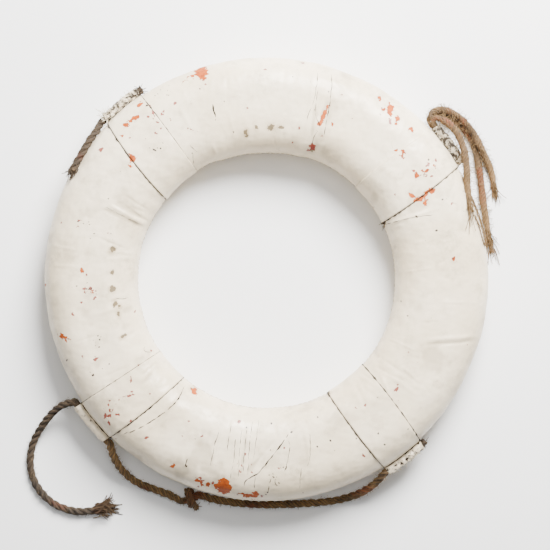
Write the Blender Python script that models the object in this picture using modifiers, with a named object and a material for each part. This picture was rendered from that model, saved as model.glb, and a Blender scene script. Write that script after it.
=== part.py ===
"""Ring lifebuoy: pegged cork blocks under painted canvas, four canvas bands, and what is left of its grab rope.

The ring lies flat with its axis along Z. It rests on the four bands, whose undersides are the plane Z = 0.
Angles run counterclockwise from +X, seen from above.
"""

import math

import bmesh
import bpy
from mathutils import Matrix, Vector

# The ring, over its painted canvas cover
OUTER_DIAMETER = 0.762
HOLE_DIAMETER = 0.445
THICKNESS = 0.104
FACE_FLAT = 0.044  # level strip along the middle of each face

# Canvas
COVER_THICKNESS = 0.0015
COVER_SEAM_GAP = 0.0012  # where the cover's two edges are sewn together, inside the hole
BAND_THICKNESS = 0.0013
BAND_WIDTH = 0.076
BAND_ANGLES = {"upper_right": 36.3, "upper_left": 130.0, "lower_left": 219.7, "lower_right": 307.7}

# Cork core
BLOCKS_PER_LAYER = 8
FIRST_JOINT_ANGLE = 25.0
PEG_DIAMETER = 0.012

# Rope
ROPE_DIAMETER = 0.0132
STRAND_DIAMETER = 0.009
CUT_STUB_LENGTH = 0.006  # how far a cut rope stands out of its sleeve
KNOT_LENGTH = 0.017
KNOT_WIDTH = 0.044
KNOT_HEIGHT = 0.026
KNOT_ROPE_HEIGHT = 0.010  # of the rope's centreline where it enters and leaves the knot
KNOT_HEADING = 18.0  # the way the rope runs through the knot
STRAIGHT_START = 0.008  # how far a rope runs straight on from a sleeve or the knot
STRAND_START_SHARE = 0.6  # how thin a strand is where the three still lie together
ROUTE_SPACING = 2.2  # diameters between the points of a rope's centreline

# Clearances
TOUCH_GAP = 0.0003  # between pieces that touch
RESTING_GAP = 0.0008  # under a rope that lies on the ring, which its straight facets may use up
SLEEVE_CLEARANCE = 0.0005  # round the rope in its sleeve
NECK_GAP = 0.0006  # between the two plies sewn together at a sleeve's neck

# Fineness
FACET_ANGLE = 7.5  # every turned piece has its edges on this one grid of angles
ARC_STEPS = 4  # edges in each quarter of the ring's section
ROUND_SIDES = 12

OUTER_RADIUS = OUTER_DIAMETER / 2
HOLE_RADIUS = HOLE_DIAMETER / 2
TUBE_RADIUS = (OUTER_RADIUS + HOLE_RADIUS) / 2
HALF_WIDTH = (OUTER_RADIUS - HOLE_RADIUS) / 2
BAND_STAND = TOUCH_GAP + BAND_THICKNESS  # how far a band stands over the cover
MID_HEIGHT = THICKNESS / 2 + BAND_STAND
CORE_INSET = COVER_THICKNESS + TOUCH_GAP
BLOCK_ANGLE = 360 / BLOCKS_PER_LAYER
BORE_RADIUS = ROPE_DIAMETER / 2 + SLEEVE_CLEARANCE
SLEEVE_RADIUS = BORE_RADIUS + BAND_THICKNESS
STRAND_SPREAD = (ROPE_DIAMETER - STRAND_START_SHARE * STRAND_DIAMETER) / 2 - TOUCH_GAP
SLEEVE_RING_RADIUS = OUTER_RADIUS + BAND_STAND + SLEEVE_RADIUS

# Routes of the free ropes: angle in degrees, then how far the centreline is outside the rim and over the
# surface that the ring lies on, in millimetres. The first points, straight out of the sleeve, are worked out.
TAIL_LOWER_LEFT = [
    (212.2, 20, 50), (211.7, 38, 42), (212.2, 62, 30), (213.4, 90, 18), (215.0, 116, 10), (217.0, 136, 7.4),
    (219.2, 150, 7), (221.6, 159, 7), (224.1, 162, 7), (226.6, 160, 7), (228.9, 153, 7), (230.9, 143, 7),
    (232.7, 129, 7), (234.3, 114, 7),
]
SPAN_TO_KNOT = [
    (227.6, 17, 48), (229.6, 26, 38), (232.4, 35, 26), (235.3, 39.5, 15), (238.3, 40, 9), (241.8, 36, 7),
    (245.6, 33, 7.5),
]
SPAN_FROM_KNOT = [
    (256.2, 15, 7.5), (259.4, 14.5, 7), (263.5, 14, 7), (269.0, 14, 7), (275.0, 14.5, 7),
    (280.5, 18, 7), (285.5, 23, 7.4), (289.8, 26, 11), (293.6, 26, 20), (296.8, 22, 32), (299.4, 16, 44),
]
KNOT_PLACE = (250.9, 24, 13)
STRAND_OUTER = [
    (44.8, 18, 53), (44.9, 31, 46), (43.2, 46, 34), (39.6, 57, 22), (35.4, 60, 16), (31.6, 57.5, 14.5),
    (28.4, 56, 9), (25.4, 54, 5.2), (22.2, 49, 5),
]
STRAND_MIDDLE = [
    (44.6, 13, 43), (44.4, 26, 32), (42.6, 41, 19), (39.2, 50, 9), (35.4, 53, 5.2), (31.8, 49, 5),
    (27.8, 39, 5), (24.0, 30, 5), (20.0, 22, 5), (15.6, 17, 5), (11.5, 15, 5),
]
# This strand passes over its sleeve, so its heights are over the ring's middle plane instead.
STRAND_INNER = [
    (43.6, 20, 5.4), (41.4, 28.5, 9.4), (38.4, 31, 12.4), (35.2, 28, 14.4), (31.6, 19, 20.4), (28.0, 7, 26.4),
]
# Two routes lie on the ring's round outer edge: angle, then degrees up that edge from the rim.
STRAND_INNER_END = [(24.8, 30), (21.8, 40)]
TAIL_UPPER_LEFT = [(138.6, 10), (141.2, 18), (144, 24), (147.2, 28), (150.8, 31)]

PAINTED_CANVAS = (0.86, 0.83, 0.75)
BAND_CANVAS = (0.84, 0.80, 0.71)
CORK = (0.42, 0.25, 0.13)
PEG_WOOD = (0.50, 0.33, 0.18)
MANILA = (0.34, 0.25, 0.15)
DARK_MANILA = (0.15, 0.11, 0.07)


def clear_scene():
    for thing in list(bpy.data.objects):
        bpy.data.objects.remove(thing, do_unlink=True)


def new_collection(name):
    collection = bpy.data.collections.new(name)
    bpy.context.scene.collection.children.link(collection)
    return collection


def material(name, colour, roughness):
    made = bpy.data.materials.new(name)
    made.use_nodes = True
    shader = made.node_tree.nodes["Principled BSDF"]
    shader.inputs["Base Color"].default_value = (*colour, 1.0)
    shader.inputs["Roughness"].default_value = roughness
    return made


def add_object(name, data, collection, finish=None):
    made = bpy.data.objects.new(name, data)
    collection.objects.link(made)
    if finish:
        data.materials.append(finish)
    return made


def add_cutter(name, mesh, collection):
    cutter = add_object(name, mesh, collection)
    cutter.hide_render = True
    cutter.display_type = "WIRE"
    return cutter


def add_hole(target, cutter):
    modifier = target.modifiers.new(cutter.name, "BOOLEAN")
    modifier.operation = "DIFFERENCE"
    modifier.object = cutter
    modifier.solver = "EXACT"


def shade_round(mesh):
    mesh.shade_smooth()
    mesh.set_sharp_from_angle(angle=math.radians(32))


# ---- turned solids


def grown_quarter(grow, first_quarter):
    """Points (across, up) of one quarter of the section's round edge, grown outwards, with both ends."""
    points = []
    for step in range(ARC_STEPS + 1):
        turn = math.radians(90 * (first_quarter + step / ARC_STEPS))
        side = 1 if first_quarter in (0, 3) else -1
        across = side * FACE_FLAT / 2 + (HALF_WIDTH - FACE_FLAT / 2 + grow) * math.cos(turn)
        points.append((across, (THICKNESS / 2 + grow) * math.sin(turn)))
    return points


def section(grow, quarters=(0, 1, 2, 3)):
    """The ring's section, a level strip between two round edges, as (radius, height over the middle plane)."""
    points = []
    for quarter in quarters:
        for across, up in grown_quarter(grow, quarter):
            place = (TUBE_RADIUS + across, up)
            if not points or math.dist(place, points[-1]) > 1e-6:
                points.append(place)
    if math.dist(points[0], points[-1]) < 1e-6:
        points.pop()
    return points


def round_points(radius, centre, turns):
    return [(centre + radius * math.cos(turn), radius * math.sin(turn)) for turn in turns]


def mesh_from(name, shape):
    mesh = bpy.data.meshes.new(name)
    shape.to_mesh(mesh)
    shape.free()
    return mesh


def turned(outline, start, steps, facet=FACET_ANGLE):
    """A closed outline of (radius, height) swept round Z from the angle start, as one closed solid."""
    shape = bmesh.new()
    corners = [shape.verts.new((radius, 0, height)) for radius, height in outline]
    face = shape.faces.new(corners)
    sweep = math.radians(facet * steps)
    bmesh.ops.spin(
        shape, geom=[face, *face.edges, *face.verts], cent=(0, 0, 0), axis=(0, 0, 1), angle=sweep, steps=steps
    )
    bmesh.ops.recalc_face_normals(shape, faces=shape.faces)
    bmesh.ops.rotate(shape, verts=shape.verts, matrix=Matrix.Rotation(math.radians(start), 3, "Z"))
    return shape


def trim(shape, angle, ahead, behind):
    """Cuts a turned solid square to the rim at this angle, so far counterclockwise and so far behind."""
    turn = math.radians(angle)
    along = Vector((-math.sin(turn), math.cos(turn), 0))
    for side, reach in ((1, ahead), (-1, behind)):
        everything = [*shape.verts, *shape.edges, *shape.faces]
        cut = bmesh.ops.bisect_plane(
            shape, geom=everything, plane_co=along * side * reach, plane_no=along * side, clear_outer=True
        )
        rim = [piece for piece in cut["geom_cut"] if isinstance(piece, bmesh.types.BMEdge)]
        bmesh.ops.holes_fill(shape, edges=rim, sides=0)
    bmesh.ops.recalc_face_normals(shape, faces=shape.faces)


def facets_round(centre, half_angle):
    """The grid angle at or before a stretch's start, and the number of facets that cover the stretch."""
    offset = FIRST_JOINT_ANGLE % FACET_ANGLE
    first = math.floor((centre - half_angle - offset) / FACET_ANGLE)
    last = math.ceil((centre + half_angle - offset) / FACET_ANGLE)
    return first * FACET_ANGLE + offset, last - first


def nearest_facet(angle):
    offset = FIRST_JOINT_ANGLE % FACET_ANGLE
    return round((angle - offset) / FACET_ANGLE) * FACET_ANGLE + offset


# ---- cork core


def half_section(layer):
    """The cork's half of the section, over (+1) or under (-1) the middle plane, clear of it by half a gap."""
    outline = []
    for radius, height in section(-CORE_INSET, (0, 1)):
        outline.append((radius, layer * max(height, TOUCH_GAP / 2)))
    return outline


def peg_angles():
    pitch = BLOCK_ANGLE / 2
    return [FIRST_JOINT_ANGLE + pitch * (count + 0.5) for count in range(2 * BLOCKS_PER_LAYER)]


def cylinder(name, radius, half_height):
    shape = bmesh.new()
    bmesh.ops.create_cone(
        shape,
        cap_ends=True,
        segments=ROUND_SIDES,
        radius1=radius,
        radius2=radius,
        depth=2 * half_height,
    )
    return mesh_from(name, shape)


def place_on_ring(thing, angle):
    turn = math.radians(angle)
    thing.location = (TUBE_RADIUS * math.cos(turn), TUBE_RADIUS * math.sin(turn), MID_HEIGHT)
    thing.rotation_euler.z = turn


def build_pegs(parts, cutters):
    """A wooden peg, and the cutter of its hole, wherever an upper and a lower block overlap."""
    finish = material("peg_wood", PEG_WOOD, 0.8)
    half_height = THICKNESS / 2 - CORE_INSET
    peg_mesh = cylinder("wooden_peg", PEG_DIAMETER / 2, half_height)
    peg_mesh.materials.append(finish)
    shade_round(peg_mesh)
    hole_mesh = cylinder("peg_hole", PEG_DIAMETER / 2 + TOUCH_GAP, THICKNESS)
    holes = {}
    for count, angle in enumerate(peg_angles(), start=1):
        place_on_ring(add_object(f"wooden_peg_{count:02d}", peg_mesh, parts), angle)
        holes[angle] = add_cutter(f"peg_hole_{count:02d}", hole_mesh, cutters)
        place_on_ring(holes[angle], angle)
    return holes


def build_blocks(parts, holes):
    """Two layers of cork blocks, the lower one turned by half a block so that its joints are staggered."""
    finish = material("cork", CORK, 0.95)
    facets = round(BLOCK_ANGLE / FACET_ANGLE)
    joint_angle = math.degrees(TOUCH_GAP / HOLE_RADIUS)
    facet = (BLOCK_ANGLE - joint_angle) / facets
    for layer, side, shift in (("upper", 1, 0.0), ("lower", -1, BLOCK_ANGLE / 2)):
        mesh = mesh_from(f"cork_block_{layer}", turned(half_section(side), joint_angle / 2, facets, facet))
        mesh.materials.append(finish)
        shade_round(mesh)
        for count in range(BLOCKS_PER_LAYER):
            start = FIRST_JOINT_ANGLE + shift + count * BLOCK_ANGLE
            block = add_object(f"cork_block_{layer}_{count + 1}", mesh, parts)
            block.location.z = MID_HEIGHT
            block.rotation_euler.z = math.radians(start)
            for angle, hole in holes.items():
                if 0 < (angle - start) % 360 < BLOCK_ANGLE:
                    add_hole(block, hole)


# ---- canvas


def cover_outline():
    """The cover's section: a skin round the core, open along the seam inside the hole."""
    outline = []
    for grow, order in ((0, 1), (-COVER_THICKNESS, -1)):
        skin = section(grow, (2, 3, 0, 1))
        skin[0] = (skin[0][0], -COVER_SEAM_GAP / 2)
        skin.append((skin[0][0], COVER_SEAM_GAP / 2))
        outline += skin[::order]
    return outline


def build_covers(parts):
    """Four cover sections, whose ends meet out of sight under the bands."""
    finish = material("painted_canvas", PAINTED_CANVAS, 0.5)
    joints = [nearest_facet(angle) for angle in BAND_ANGLES.values()]
    names = ("top", "left", "bottom", "right")
    joint_angle = math.degrees(TOUCH_GAP / HOLE_RADIUS)
    for count, name in enumerate(names):
        sweep = (joints[(count + 1) % len(joints)] - joints[count]) % 360
        facets = round(sweep / FACET_ANGLE)
        facet = (sweep - joint_angle) / facets
        shape = turned(cover_outline(), joints[count] + joint_angle / 2, facets, facet)
        mesh = mesh_from(f"canvas_cover_{name}", shape)
        shade_round(mesh)
        cover = add_object(mesh.name, mesh, parts, finish)
        cover.location.z = MID_HEIGHT


def band_outline():
    """The band's section: folded round the rope, sewn at the sleeve's neck, and wrapped round the ring."""
    outline = []
    for grow, wall, round_radius, order in (
        (BAND_STAND, BAND_THICKNESS, SLEEVE_RADIUS, 1),
        (TOUCH_GAP, 0, BORE_RADIUS, -1),
    ):
        neck = NECK_GAP / 2 + wall
        opening = math.asin(neck / round_radius)
        step = (2 * math.pi - 2 * opening) / ROUND_SIDES
        turns = [math.pi + opening + step * side for side in range(ROUND_SIDES + 1)]
        lower = section(grow, (2, 3))
        upper = section(grow, (0, 1))
        lower[0] = (lower[0][0], -COVER_SEAM_GAP / 2)
        lower[-1] = (lower[-1][0], -neck)
        upper[0] = (upper[0][0], neck)
        upper[-1] = (upper[-1][0], COVER_SEAM_GAP / 2)
        skin = [*lower, *round_points(round_radius, SLEEVE_RING_RADIUS, turns), *upper]
        outline += skin[::order]
    return outline


def build_band(place, parts, finish):
    """A canvas strip with parallel sides, folded over the rope and wrapped round the ring."""
    angle = BAND_ANGLES[place]
    reach = math.degrees(math.asin(BAND_WIDTH / 2 / HOLE_RADIUS))
    start, facets = facets_round(angle, reach)
    shape = turned(band_outline(), start, facets)
    trim(shape, angle, BAND_WIDTH / 2, BAND_WIDTH / 2)
    mesh = mesh_from(f"canvas_band_{place}", shape)
    shade_round(mesh)
    band = add_object(mesh.name, mesh, parts, finish)
    band.location.z = MID_HEIGHT


# ---- rope held in the sleeves

# How far each held rope stands out of its sleeve, ahead (counterclockwise) and behind
HELD_ENDS = {
    "upper_right": (-0.001, -0.004),
    "upper_left": (0.0, CUT_STUB_LENGTH),
    "lower_left": (0.0, 0.0),
    "lower_right": (CUT_STUB_LENGTH, 0.0),
}


def build_held_rope(place, parts, finish):
    angle = BAND_ANGLES[place]
    ahead, behind = (BAND_WIDTH / 2 + extra for extra in HELD_ENDS[place])
    start, facets = facets_round(angle, math.degrees(BAND_WIDTH / OUTER_RADIUS))
    turns = [2 * math.pi * side / ROUND_SIDES for side in range(ROUND_SIDES)]
    shape = turned(round_points(ROPE_DIAMETER / 2, SLEEVE_RING_RADIUS, turns), start, facets)
    trim(shape, angle, ahead, behind)
    mesh = mesh_from(f"rope_held_{place}", shape)
    shade_round(mesh)
    rope = add_object(mesh.name, mesh, parts, finish)
    rope.location.z = MID_HEIGHT


# ---- free rope


def on_ring(angle, out, height):
    """A point given by its angle, its distance outside the rim and its height, both in millimetres."""
    radius = OUTER_RADIUS + out / 1000
    turn = math.radians(angle)
    return Vector((radius * math.cos(turn), radius * math.sin(turn), height / 1000))


def on_edge(angle, climb, diameter):
    """The centre of a rope lying on the ring's round outer edge, this many degrees up from the rim."""
    lift = diameter / 2 + RESTING_GAP
    up = math.radians(climb)
    radius = TUBE_RADIUS + FACE_FLAT / 2 + (HALF_WIDTH - FACE_FLAT / 2 + lift) * math.cos(up)
    turn = math.radians(angle)
    height = MID_HEIGHT + (THICKNESS / 2 + lift) * math.sin(up)
    return Vector((radius * math.cos(turn), radius * math.sin(turn), height))


def sleeve_mouth(place, side, beyond, out=0.0, up=0.0):
    """A point straight out of a sleeve: side is +1 for its counterclockwise mouth and -1 for the other."""
    turn = math.radians(BAND_ANGLES[place])
    outward = Vector((math.cos(turn), math.sin(turn), 0))
    along = Vector((-math.sin(turn), math.cos(turn), 0)) * side
    reach = BAND_WIDTH / 2 + beyond
    radius = math.sqrt(SLEEVE_RING_RADIUS**2 - (BAND_WIDTH / 2) ** 2)
    return outward * (radius + out) + along * reach + Vector((0, 0, MID_HEIGHT + up))


def smooth_route(points, spacing):
    """A straight first stretch, then evenly spaced points on one smooth curve through the route's points."""
    padded = [*points, 2 * points[-1] - points[-2]]
    fine = []
    for before, start, end, after in zip(padded, padded[1:], padded[2:], padded[3:]):
        for step in range(16):
            t = step / 16
            straight = (end - before) * t
            bent = (2 * before - 5 * start + 4 * end - after) * t**2
            fine.append(0.5 * (2 * start + straight + bent + (3 * start - before - 3 * end + after) * t**3))
    fine.append(points[-1])
    lengths = [0.0]
    for start, end in zip(fine, fine[1:]):
        lengths.append(lengths[-1] + (end - start).length)
    count = max(2, round(lengths[-1] / spacing))
    route = [points[0]]
    index = 0
    for step in range(count + 1):
        wanted = lengths[-1] * step / count
        while index < len(fine) - 2 and lengths[index + 1] < wanted:
            index += 1
        share = (wanted - lengths[index]) / (lengths[index + 1] - lengths[index])
        route.append(fine[index].lerp(fine[index + 1], share))
    return route


def add_tube(name, route, diameter, parts, finish, start_share=1.0):
    """A round tube on a polyline. Its first points can be thinner, where strands leave one rope together."""
    curve = bpy.data.curves.new(name, "CURVE")
    curve.dimensions = "3D"
    curve.bevel_depth = diameter / 2
    curve.bevel_resolution = 2
    curve.use_fill_caps = True
    spline = curve.splines.new("POLY")
    spline.points.add(len(route) - 1)
    for count, (point, place) in enumerate(zip(spline.points, route)):
        point.co = (*place, 1)
        point.radius = min(1.0, start_share + (1 - start_share) * count / 3)
    return add_object(name, curve, parts, finish)


def knot_face(side, beyond):
    """A point straight out of the knot: side is -1 where the rope comes in and +1 where it goes on."""
    heading = math.radians(KNOT_HEADING)
    along = Vector((math.cos(heading), math.sin(heading), 0)) * side
    centre = on_ring(*KNOT_PLACE)
    centre.z = KNOT_ROPE_HEIGHT
    return centre + along * (KNOT_LENGTH / 2 + beyond)


def build_knot(parts, finish):
    """The outer shape of an overhand knot, with a level face on each side for the rope's ends."""
    shape = bmesh.new()
    bmesh.ops.create_cone(shape, cap_ends=True, segments=16, radius1=0.5, radius2=0.5, depth=1)
    bmesh.ops.rotate(shape, verts=shape.verts, matrix=Matrix.Rotation(math.radians(90), 3, "Y"))
    bmesh.ops.scale(shape, verts=shape.verts, vec=(KNOT_LENGTH, KNOT_WIDTH, KNOT_HEIGHT))
    mesh = mesh_from("rope_knot", shape)
    shade_round(mesh)
    knot = add_object("rope_knot", mesh, parts, finish)
    knot.location = on_ring(*KNOT_PLACE)
    knot.location.z = KNOT_HEIGHT / 2 + TOUCH_GAP
    knot.rotation_euler.z = math.radians(KNOT_HEADING)
    rounding = knot.modifiers.new("rounding", "BEVEL")
    rounding.width = KNOT_LENGTH / 5
    rounding.segments = 2
    rounding.limit_method = "ANGLE"
    rounding.angle_limit = math.radians(60)


def build_free_ropes(parts):
    rope = material("manila_rope", MANILA, 0.9)
    dark = material("tarred_rope", DARK_MANILA, 0.9)
    resting = [on_edge(angle, climb, ROPE_DIAMETER) for angle, climb in TAIL_UPPER_LEFT]
    tails = (
        ("rope_tail_upper_left", "upper_left", 1, resting, dark),
        ("rope_tail_lower_left", "lower_left", -1, [on_ring(*point) for point in TAIL_LOWER_LEFT], dark),
        ("rope_span_to_knot", "lower_left", 1, [on_ring(*point) for point in SPAN_TO_KNOT], rope),
        ("rope_span_from_knot", "lower_right", -1, [on_ring(*point) for point in SPAN_FROM_KNOT[::-1]], rope),
    )
    spacing = ROUTE_SPACING * ROPE_DIAMETER
    for name, place, side, free_points, finish in tails:
        points = [sleeve_mouth(place, side, beyond) for beyond in (TOUCH_GAP, STRAIGHT_START)] + free_points
        if "knot" in name:
            knot_side = -1 if name.endswith("to_knot") else 1
            ends = [knot_face(knot_side, beyond) for beyond in (STRAIGHT_START, TOUCH_GAP)]
            route = [*smooth_route([*points, ends[0]], spacing), ends[1]]
        else:
            route = smooth_route(points, spacing)
        add_tube(name, route, ROPE_DIAMETER, parts, finish)
    build_knot(parts, rope)


def build_strands(parts):
    """The rope's three strands, unlaid where they leave the upper right sleeve."""
    finish = material("loose_strand", MANILA, 0.9)
    lift = 1000 * MID_HEIGHT
    inner = [on_ring(angle, out, lift + height) for angle, out, height in STRAND_INNER]
    inner += [on_edge(angle, climb, STRAND_DIAMETER) for angle, climb in STRAND_INNER_END]
    strands = (
        ("rope_strand_outer", [on_ring(*point) for point in STRAND_OUTER], -30),
        ("rope_strand_middle", [on_ring(*point) for point in STRAND_MIDDLE], 210),
        ("rope_strand_inner", inner, 90),
    )
    for name, free_points, turn in strands:
        out = math.cos(math.radians(turn))
        up = math.sin(math.radians(turn))
        straight = [
            sleeve_mouth("upper_right", 1, beyond, out * spread, up * spread)
            for beyond, spread in ((TOUCH_GAP, STRAND_SPREAD), (STRAIGHT_START, 1.4 * STRAND_SPREAD))
        ]
        route = smooth_route(straight + free_points, ROUTE_SPACING * STRAND_DIAMETER)
        add_tube(name, route, STRAND_DIAMETER, parts, finish, STRAND_START_SHARE)


def main():
    clear_scene()
    parts = new_collection("ring_lifebuoy")
    cutters = new_collection("cutters")
    holes = build_pegs(parts, cutters)
    build_blocks(parts, holes)
    build_covers(parts)
    band_finish = material("band_canvas", BAND_CANVAS, 0.6)
    held_finish = material("held_rope", MANILA, 0.9)
    for place in BAND_ANGLES:
        build_band(place, parts, band_finish)
        build_held_rope(place, parts, held_finish)
    build_free_ropes(parts)
    build_strands(parts)


main()
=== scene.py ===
"""Looks of a ring lifebuoy: painted canvas over cork, four bands with rope sleeves, and its old manila rope.

The ring lies flat with its axis along Z. Angles run counterclockwise from +X, seen from above.
Lengths are in metres. The lists of marks and routes give degrees and millimetres.
"""

import math

import bpy
import numpy as np
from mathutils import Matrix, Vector


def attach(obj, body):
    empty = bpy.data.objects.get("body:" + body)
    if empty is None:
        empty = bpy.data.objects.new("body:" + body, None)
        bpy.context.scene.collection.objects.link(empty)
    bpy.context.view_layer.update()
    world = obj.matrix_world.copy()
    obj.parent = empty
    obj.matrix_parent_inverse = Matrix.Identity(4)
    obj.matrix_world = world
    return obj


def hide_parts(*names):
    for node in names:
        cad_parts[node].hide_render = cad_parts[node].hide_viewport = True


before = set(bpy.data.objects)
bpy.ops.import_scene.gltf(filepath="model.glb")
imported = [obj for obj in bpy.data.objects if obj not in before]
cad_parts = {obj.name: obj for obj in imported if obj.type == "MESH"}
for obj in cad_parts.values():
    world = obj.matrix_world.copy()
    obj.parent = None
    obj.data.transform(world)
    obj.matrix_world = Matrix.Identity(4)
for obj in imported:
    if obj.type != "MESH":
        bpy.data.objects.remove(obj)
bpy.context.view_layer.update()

MM = 0.001

# The ring, as the frame has it
OUTER_RADIUS = 0.381
HOLE_RADIUS = 0.2225
THICKNESS = 0.104
FACE_FLAT = 0.044
MID_HEIGHT = 0.0536
TUBE_RADIUS = (OUTER_RADIUS + HOLE_RADIUS) / 2
HALF_WIDTH = (OUTER_RADIUS - HOLE_RADIUS) / 2
BAND_STAND = 0.0016
BAND_WIDTH = 0.076
SLEEVE_RING_RADIUS = 0.391
SLEEVE_RADIUS = 0.0082
ROPE_DIAMETER = 0.0132
STRAND_DIAMETER = 0.009
RESTING_GAP = 0.0008
FLOOR_GAP = 0.0002
BAND_FLOOR_GAP = 0.0003
BAND_WALL = 0.0011
FRAYED_CORNER_ANGLE = 25.6
NECK_STITCH_HEIGHT = 0.0034
# Height of the dark lines painted as shade in the crease at each sleeve's neck
NECK_SHADE_HEIGHT = 0.0052
INSIDE_SLEEVE = -0.006
LINE_SPACING = 0.0016
STRAND_PITCH = 0.034
ROPE_PITCH = 0.043
STRAIGHT_START = 0.008
STRAND_SPREAD = 0.0036
KNOT_LENGTH = 0.017
KNOT_PLACE = (250.9, 24, 13)
KNOT_ROPE_HEIGHT = 0.010
KNOT_HEADING = 18.0
BAND_ANGLES = {"upper_right": 36.3, "upper_left": 130.0, "lower_left": 219.7, "lower_right": 307.7}
# Each band's two edges: the angle at the rim, then at the hole
BAND_EDGES = {
    "upper_right": ((30.4, 25.9), (42.2, 46.2)),
    "upper_left": ((124.4, 122.8), (135.6, 141.4)),
    "lower_left": ((213.9, 214.2), (225.3, 229.8)),
    "lower_right": ((302.0, 298.4), (313.5, 318.2)),
}
COVERS = {"top": (40.0, 130.0), "left": (130.0, 220.0), "bottom": (220.0, 310.0), "right": (310.0, 400.0)}

# Routes of the free ropes: angle, distance outside the rim and height of the centreline
TAIL_LOWER_LEFT = [
    (212.2, 20, 50), (211.7, 38, 42), (212.2, 62, 30), (213.4, 90, 18), (215.0, 116, 10), (217.0, 136, 7.4),
    (219.2, 150, 7), (221.6, 159, 7), (224.1, 162, 7), (226.6, 160, 7), (228.9, 153, 7), (230.9, 143, 7),
    (232.7, 129, 7), (234.3, 114, 7),
]
SPAN_TO_KNOT = [
    (227.6, 17, 48), (229.6, 26, 38), (232.4, 35, 26), (235.3, 39.5, 15), (238.3, 40, 9), (241.8, 36, 7),
    (245.6, 33, 7.5),
]
SPAN_FROM_KNOT = [
    (256.2, 15, 7.5), (259.4, 14.5, 7), (263.5, 14, 7), (269.0, 14, 7), (275.0, 14.5, 7),
    (280.5, 18, 7), (285.5, 23, 7.4), (289.8, 26, 11), (293.6, 26, 20), (296.8, 22, 32), (299.4, 16, 44),
]
STRAND_OUTER = [
    (44.8, 18, 53), (44.9, 31, 46), (43.2, 46, 34), (39.6, 57, 22), (35.4, 60, 16), (31.6, 57.5, 14.5),
    (28.4, 56, 9), (25.4, 54, 5.2), (22.2, 49, 5),
]
STRAND_MIDDLE = [
    (44.6, 13, 43), (44.4, 26, 32), (42.6, 41, 19), (39.2, 50, 9), (35.4, 53, 5.2), (31.8, 49, 5),
    (27.8, 39, 5), (24.0, 30, 5), (20.0, 22, 5), (15.6, 17, 5), (11.5, 15, 5),
]
# The heights of this one are over the ring's middle plane.
STRAND_INNER = [
    (43.6, 20, 5.4), (41.4, 28.5, 9.4), (38.4, 31, 12.4), (35.2, 28, 14.4), (31.6, 19, 20.4), (28.0, 7, 26.4),
]
# Two routes end on the ring's round edge: angle, then degrees up that edge from the rim.
STRAND_INNER_END = [(24.8, 30), (21.8, 40)]
TAIL_UPPER_LEFT = [(138.6, 10), (141.2, 18), (144, 24), (147.2, 28), (150.8, 31)]

# Marks on the upper face: angle, radius, size along the ring, size across it, and a turn in degrees
ORANGE_CHIPS = [
    (107.5, 369, 15, 15, 10), (110.1, 368, 6, 4, 0), (111.8, 366, 7, 3, 20), (53.8, 356, 7, 15, 25),
    (50.6, 349, 4.5, 11, 20), (58.1, 363, 5, 5, 0), (55.2, 352, 3, 4, 0), (45.6, 354, 6, 4, 30),
    (42.5, 313, 9, 5, -40), (45.2, 310, 4, 4, 0), (33.8, 326, 8, 4, 35), (28.2, 318, 6, 9, 30),
    (27.9, 303, 5, 20, 8), (25.9, 299, 5, 8, 30), (29.8, 284, 5, 7, -30), (70.6, 289, 5, 23, -8),
    (67.2, 287, 4, 8, 30), (129.6, 354, 12, 6, -10), (132.2, 354, 7, 6, 30), (135.0, 345, 6, 5, 0),
    (138.0, 306, 8, 8, 20), (126.0, 368, 5, 3, 0), (6.0, 320, 4, 4, 0), (177.4, 313, 5, 4, 0),
    (184.6, 296, 6, 4, 50), (195.9, 359, 13, 6, 55), (196.8, 352, 6, 3, 55), (243.5, 355, 6, 6, 0),
    (258.4, 360, 16, 18, 15), (256.8, 363, 9, 6, 10), (265.6, 371, 17, 6, 4), (267.2, 368, 7, 9, 0),
    (251.0, 362, 5, 4, 0), (253.9, 362, 5, 5, 0), (252.5, 367, 4, 4, 0), (33.8, 345, 5, 5, 20),
    (34.8, 310, 8, 5, -30), (237.2, 227, 6, 7, 0), (181.6, 380, 3, 5, 0), (140.0, 300, 4, 5, 0),
]
RED_MARKS = [
    (35.2, 351, 5, 6, 10), (36.3, 309, 5, 2.4, 30), (33.0, 262, 4, 3, 0), (22.0, 343, 3, 4, 0),
    (116.8, 284, 2.4, 12, 40), (115.8, 326, 4, 3, 0), (117.4, 336, 3, 3, 0), (124.2, 340, 3, 6, 0),
    (123.9, 352, 3, 5, 0), (141.9, 357, 7, 3, 0), (164.4, 332, 3.4, 4, 0), (178.6, 306, 3, 3, 0),
    (183.2, 298, 3, 3, 0), (186.0, 292, 3, 5, 30), (220.2, 359, 4, 9, 40), (221.0, 352, 4, 6, -30),
    (222.3, 362, 3, 8, 50), (217.5, 338, 5, 3, 30), (219.2, 333, 3, 4, 0), (220.4, 306, 9, 3, 60),
    (219.8, 296, 5, 3, 60), (216.8, 286, 3, 9, 40), (226.3, 333, 3, 6, 0), (232.9, 338, 8, 3, 50),
    (259.4, 246, 4, 4, 0), (298.8, 342, 2.4, 7, 0), (307.9, 272, 3, 3, 0), (320.0, 289, 9, 3, -20),
    (80.6, 374, 4, 3, 0), (90.5, 355, 4, 3, 0), (77.8, 262, 4, 4, 0), (70.8, 238, 9, 7, 0),
    (71.8, 231, 5, 4, 0), (214.0, 262, 4, 3, 0), (224.6, 277, 3, 4, 0), (68.9, 262, 3, 4, 0),
    (255.4, 358, 3, 4, 0), (268.9, 371, 4, 4, 0), (205.0, 318, 3, 6, 0), (203.0, 337, 3, 5, 30),
]
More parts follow.
